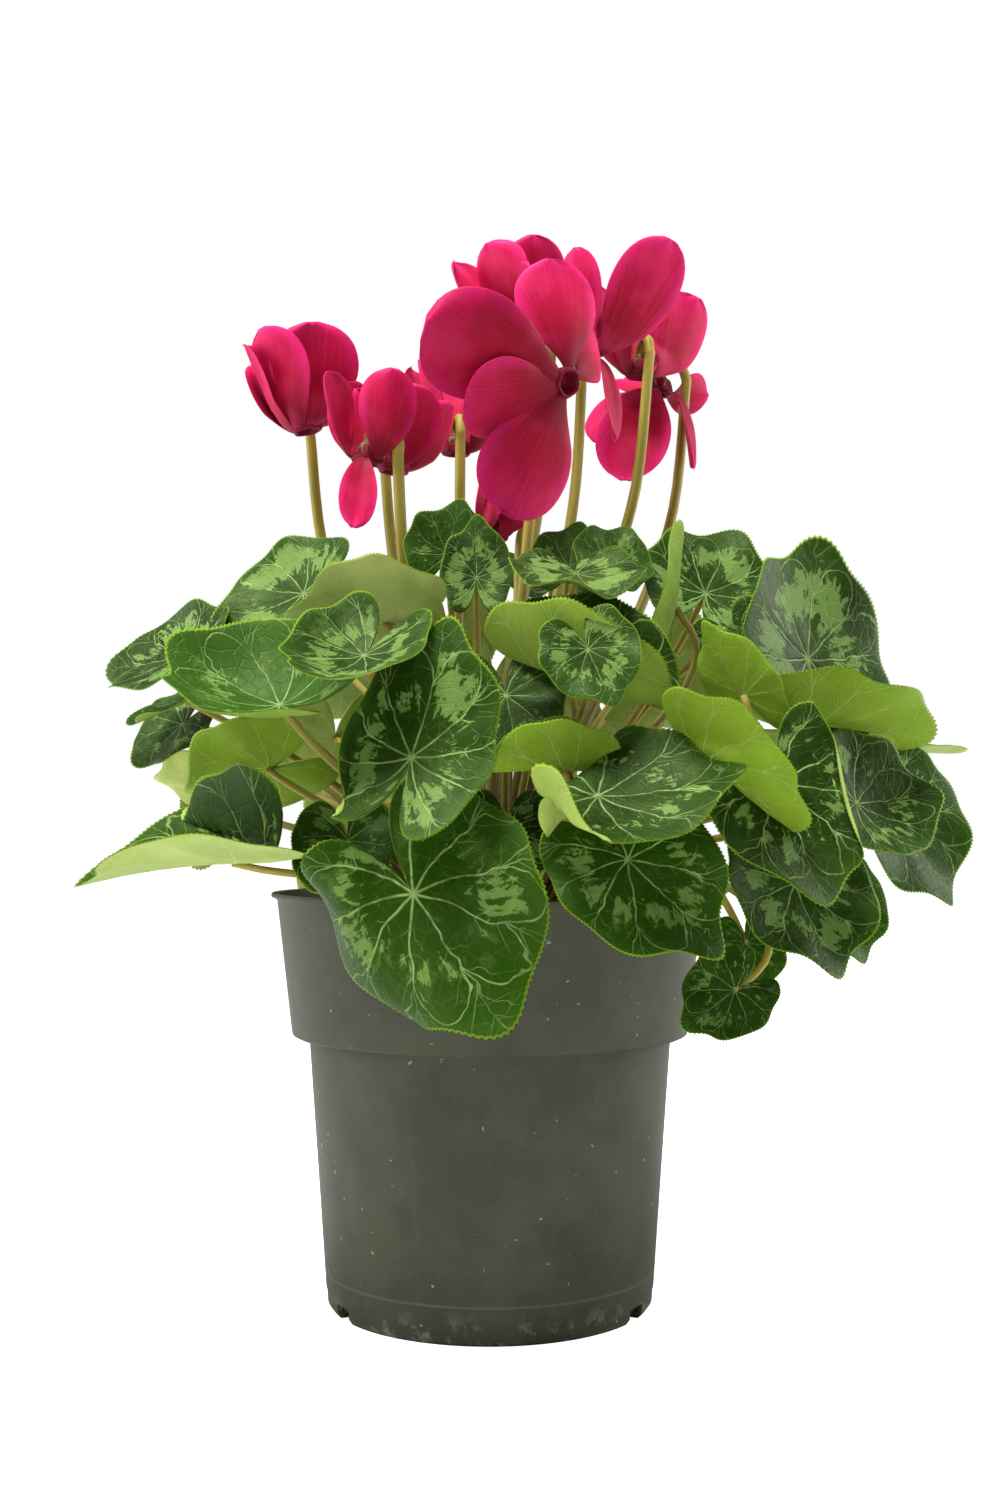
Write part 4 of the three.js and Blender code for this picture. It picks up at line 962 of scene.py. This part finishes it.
def petal_finish():
    """Petal: deep crimson at the base and brighter towards the end, with painted light along the thin
    edges and the end where light shines through them, fine streaks that spread from the base, and a satin
    sheen. Some petals, chosen at random, are darker all over: partly their own spread of tone, partly
    painted shade."""
    material, tree, shader = finish("petal", 0.55, Specular_IOR_Level=0.1, Sheen_Weight=0.3,
                                    Sheen_Roughness=0.4, Sheen_Tint=colour("ff4a86"))
    along, side, seed = parts(attribute(tree, "grain"))
    streaks = noise(attribute(tree, "rays"), 1.0, 4.0, 0.6)
    where = node(tree, "TexCoord").outputs["Object"]
    broad = noise(where, 60.0, 2.0)
    # Edges and end of the petal: a brighter magenta that is painted light shining through the thin petal
    rim = maths("MAXIMUM", mask(side, 0.6, 1.0), mask(along, 0.85, 1.0))
    base = mixed(mask(along, -0.05, 0.5), colour("560414"), colour("a6062c"))
    base = mixed(mask(along, 0.4, 0.9), base, colour("cc1250"))
    base = tinted(base, rim, mask(along, 0.1, 0.6), "e02272")
    base = tinted(base, mask(streaks, 0.45, 0.8), 0.2, "e05a80")
    base = tinted(base, mask(streaks, 0.5, 0.2), 0.18, "7c0420")
    base = tinted(base, mask(broad, 0.5, 0.7), 0.35, "e0386c")
    base = tinted(base, mask(broad, 0.5, 0.3), 0.4, "80062a")
    # Random petals darkened all over: partly their own spread of tone, partly painted shade for petals in
    # shadow
    chance = node(tree, "TexWhiteNoise", {"Vector": joined(seed, seed, seed)}).outputs["Value"]
    base = tinted(base, mask(chance, 0.55, 0.85), 0.5, "7a0418")
    dress(shader, base, streaks, 0.25, 0.2)
    return material


def stalk_finish():
    """Stalk: yellow olive with fine streaks, dark olive-brown low down, which is partly its own colour
    near the corm and partly painted shade inside the foliage, rosy brown towards the top and at the calyx.
    """
    material, tree, shader = finish("stalk", 0.45, Specular_IOR_Level=0.2)
    along, around, seed = parts(attribute(tree, "run"))
    streaks = noise(joined(times(along, 6.0), times(around, 2.5), seed), 2.0, 4.0, 0.65)
    # Darker low down: partly the stalk's own colour near the corm, partly painted shade inside the foliage
    base = mixed(mask(along, 0.1, 0.6), colour("4a4012"), colour("998c38"))
    base = mixed(mask(along, 0.75, 1.0), base, colour("6a4a22"))
    base = tinted(base, mask(streaks, 0.45, 0.75), 0.4, "b5a460")
    base = tinted(base, mask(streaks, 0.5, 0.25), 0.4, "5e5020")
    dress(shader, base, streaks, 0.3, 0.2)
    return material


def pot_finish(specks):
    """Pot: dark grey-olive moulded plastic with faint upright flow lines, scuffs, dust, a faint seam
    round the foot and dried dirt."""
    material, tree, shader = finish("pot plastic", 0.5, Specular_IOR_Level=0.25)
    where = node(tree, "TexCoord").outputs["Object"]
    x, y, z = parts(where)
    turn = maths("ARCTAN2", x, y)
    upright = joined(times(turn, 14.0), 0.0, times(z, 9.0))
    flow = noise(upright, 1.0)
    cloud = noise(where, 45.0, 4.0, 0.6)
    level = joined(times(turn, 3.0), 0.0, times(z, 120.0))
    scuff = noise(level, 3.0, 5.0, 0.7)
    dust = placed(tree, specks, {"Vector": where, "Scale": 330.0, "Size": 0.17})["Mask"]
    big_dust = placed(tree, specks, {"Vector": where, "Scale": 120.0, "Size": 0.09})["Mask"]
    seam = mask(maths("ABSOLUTE", maths("SUBTRACT", z, SEAM_HEIGHT * MM)), 0.0006, 0.0002)
    low = mask(z, 0.012, 0.0)
    dirt = times(low, mask(noise(where, 160.0, 4.0, 0.7), 0.5, 0.66))
    base = mixed(mask(cloud, 0.35, 0.7), colour("343728"), colour("404332"))
    base = tinted(base, mask(flow, 0.55, 0.8), 0.18, "585b4e")
    base = tinted(base, mask(scuff, 0.6, 0.72), 0.22, "5f6256")
    base = tinted(base, maths("MAXIMUM", dust, big_dust), 0.6, "a3a08e")
    base = tinted(base, seam, 0.4, "5f6256")
    base = tinted(base, dirt, 0.6, "8f8a74")
    roughness = times_plus(dirt, 0.3, times_plus(cloud, 0.2, 0.46))
    relief = maths("ADD", noise(where, 700.0, 2.0), times(flow, 0.6))
    dress(shader, base, relief, 0.25, 0.12, roughness)
    return material


def earth_finish(name, dark, light, scale, specks):
    """Soil or corm skin: dark crumbs, lighter fibres and pale specks."""
    material, tree, shader = finish(name, 0.9, Specular_IOR_Level=0.2)
    where = node(tree, "TexCoord").outputs["Object"]
    grain = noise(where, scale, 6.0, 0.7)
    pale = placed(tree, specks, {"Vector": where, "Scale": scale, "Size": 0.25})["Mask"]
    base = mixed(mask(grain, 0.35, 0.68), colour(dark), colour(light))
    base = tinted(base, pale, 0.5, "9a8668")
    dress(shader, base, grain, 0.8, 0.8)
    return material


# Assembly

specks = speck_group()
leaf_material = leaf_finish(vein_group())
petal_material = petal_finish()
stalk_material = stalk_finish()

make_pot(pot_finish(specks))
make_soil(earth_finish("potting soil", "22150c", "4a3524", 420.0, specks))
make_corm(earth_finish("corm skin", "4a2f1e", "7d5a3e", 180.0, specks))

tufts = [(f"{region}_{i + 1:02}", leaves)
         for region, rows in LEAVES.items() for i, leaves in enumerate(rows)]
middles = [np.mean([form.at for form in leaves], axis=0) for _, leaves in tufts]
roots = spread_roots([form.at for form in FLOWERS] + middles)

for i, form in enumerate(FLOWERS):
    name = f"flower_{i + 1:02}"
    form.axes = flower_axes(form)
    petals = [petal(form, shape) for shape in form.petals]
    piece(f"{name}_bloom", [*petals, throat(form)], petal_material, "petal", f"{name}_petals")
    stem = [flower_stalk(form, roots[i]), calyx(form)]
    piece(f"{name}_stem", stem, stalk_material, STALK_SLOT, f"{name}_stalk")

for (name, leaves), root in zip(tufts, roots[len(FLOWERS):]):
    piece(f"blades_{name}", [blade(form) for form in leaves], leaf_material, "leaf", f"leaf_{name}")
    stalks = [leaf_stalk(form, root) for form in leaves]
    piece(f"stalks_{name}", stalks, stalk_material, STALK_SLOT, f"leaf_{name}")


# Floor, light and camera

ROOM_LIGHT = 0.27
FLOOR_GLOW = 0.9
CAMERA_PLACE = (3.2, -544.75, 149.1)
CAMERA_TILT = 92.74
FRAME_HEIGHT = 36
LENS_LENGTH = 40.416

# Lights: place and side in metres, and watts
LIGHTS = {
    "top": ((-0.3, -0.35, 1.5), 0.7, 40),
    "left": ((-1.3, 0.1, 0.7), 0.8, 16),
    "right": ((1.3, 0.3, 0.6), 0.8, 15),
}


def make_floor():
    """Round pale floor, which glows only as seen by the camera."""
    bpy.ops.mesh.primitive_circle_add(vertices=128, radius=9, fill_type="NGON", location=(0, 0, 0))
    floor = bpy.context.object
    floor.name = "floor"
    pale, tree, shader = finish("pale floor", 0.8, Base_Color=colour("ececec"),
                                Emission_Color=(1, 1, 1, 1))
    glow = times(node(tree, "LightPath").outputs["Is Camera Ray"], FLOOR_GLOW)
    tree.links.new(glow, shader.inputs["Emission Strength"])
    floor.data.materials.append(pale)


def soft_light(name, place, size, power):
    """Square area light aimed at the middle of the plant."""
    lamp = bpy.data.lights.new(name, "AREA")
    lamp.size = size
    lamp.energy = power
    made = bpy.data.objects.new(name, lamp)
    bpy.context.collection.objects.link(made)
    made.location = place
    toward = Vector((0, 0, 0.2)) - made.location
    made.rotation_euler = toward.to_track_quat("-Z", "Y").to_euler()


def make_room():
    """White surroundings that look brighter to the camera than the light they give."""
    world = bpy.data.worlds.new("white room")
    world.use_nodes = True
    tree = world.node_tree
    seen = node(tree, "LightPath").outputs["Is Camera Ray"]
    strength = times_plus(seen, 1.0 - ROOM_LIGHT, ROOM_LIGHT)
    tree.nodes["Background"].inputs["Color"].default_value = (1, 1, 1, 1)
    tree.links.new(strength, tree.nodes["Background"].inputs["Strength"])
    bpy.context.scene.world = world


def make_camera():
    """Camera at the photograph's view: in front, a little above the rim, tilted slightly up."""
    lens = bpy.data.cameras.new("camera")
    lens.sensor_fit = "VERTICAL"
    lens.sensor_height = FRAME_HEIGHT
    lens.lens = LENS_LENGTH
    made = bpy.data.objects.new("camera", lens)
    bpy.context.collection.objects.link(made)
    made.location = np.array(CAMERA_PLACE) * MM
    made.rotation_euler = np.radians([CAMERA_TILT, 0, 0])
    bpy.context.scene.camera = made


make_floor()
for name, (place, side, watts) in LIGHTS.items():
    soft_light(name, place, side, watts)
make_camera()
make_room()
bpy.context.scene.view_settings.view_transform = "Standard"
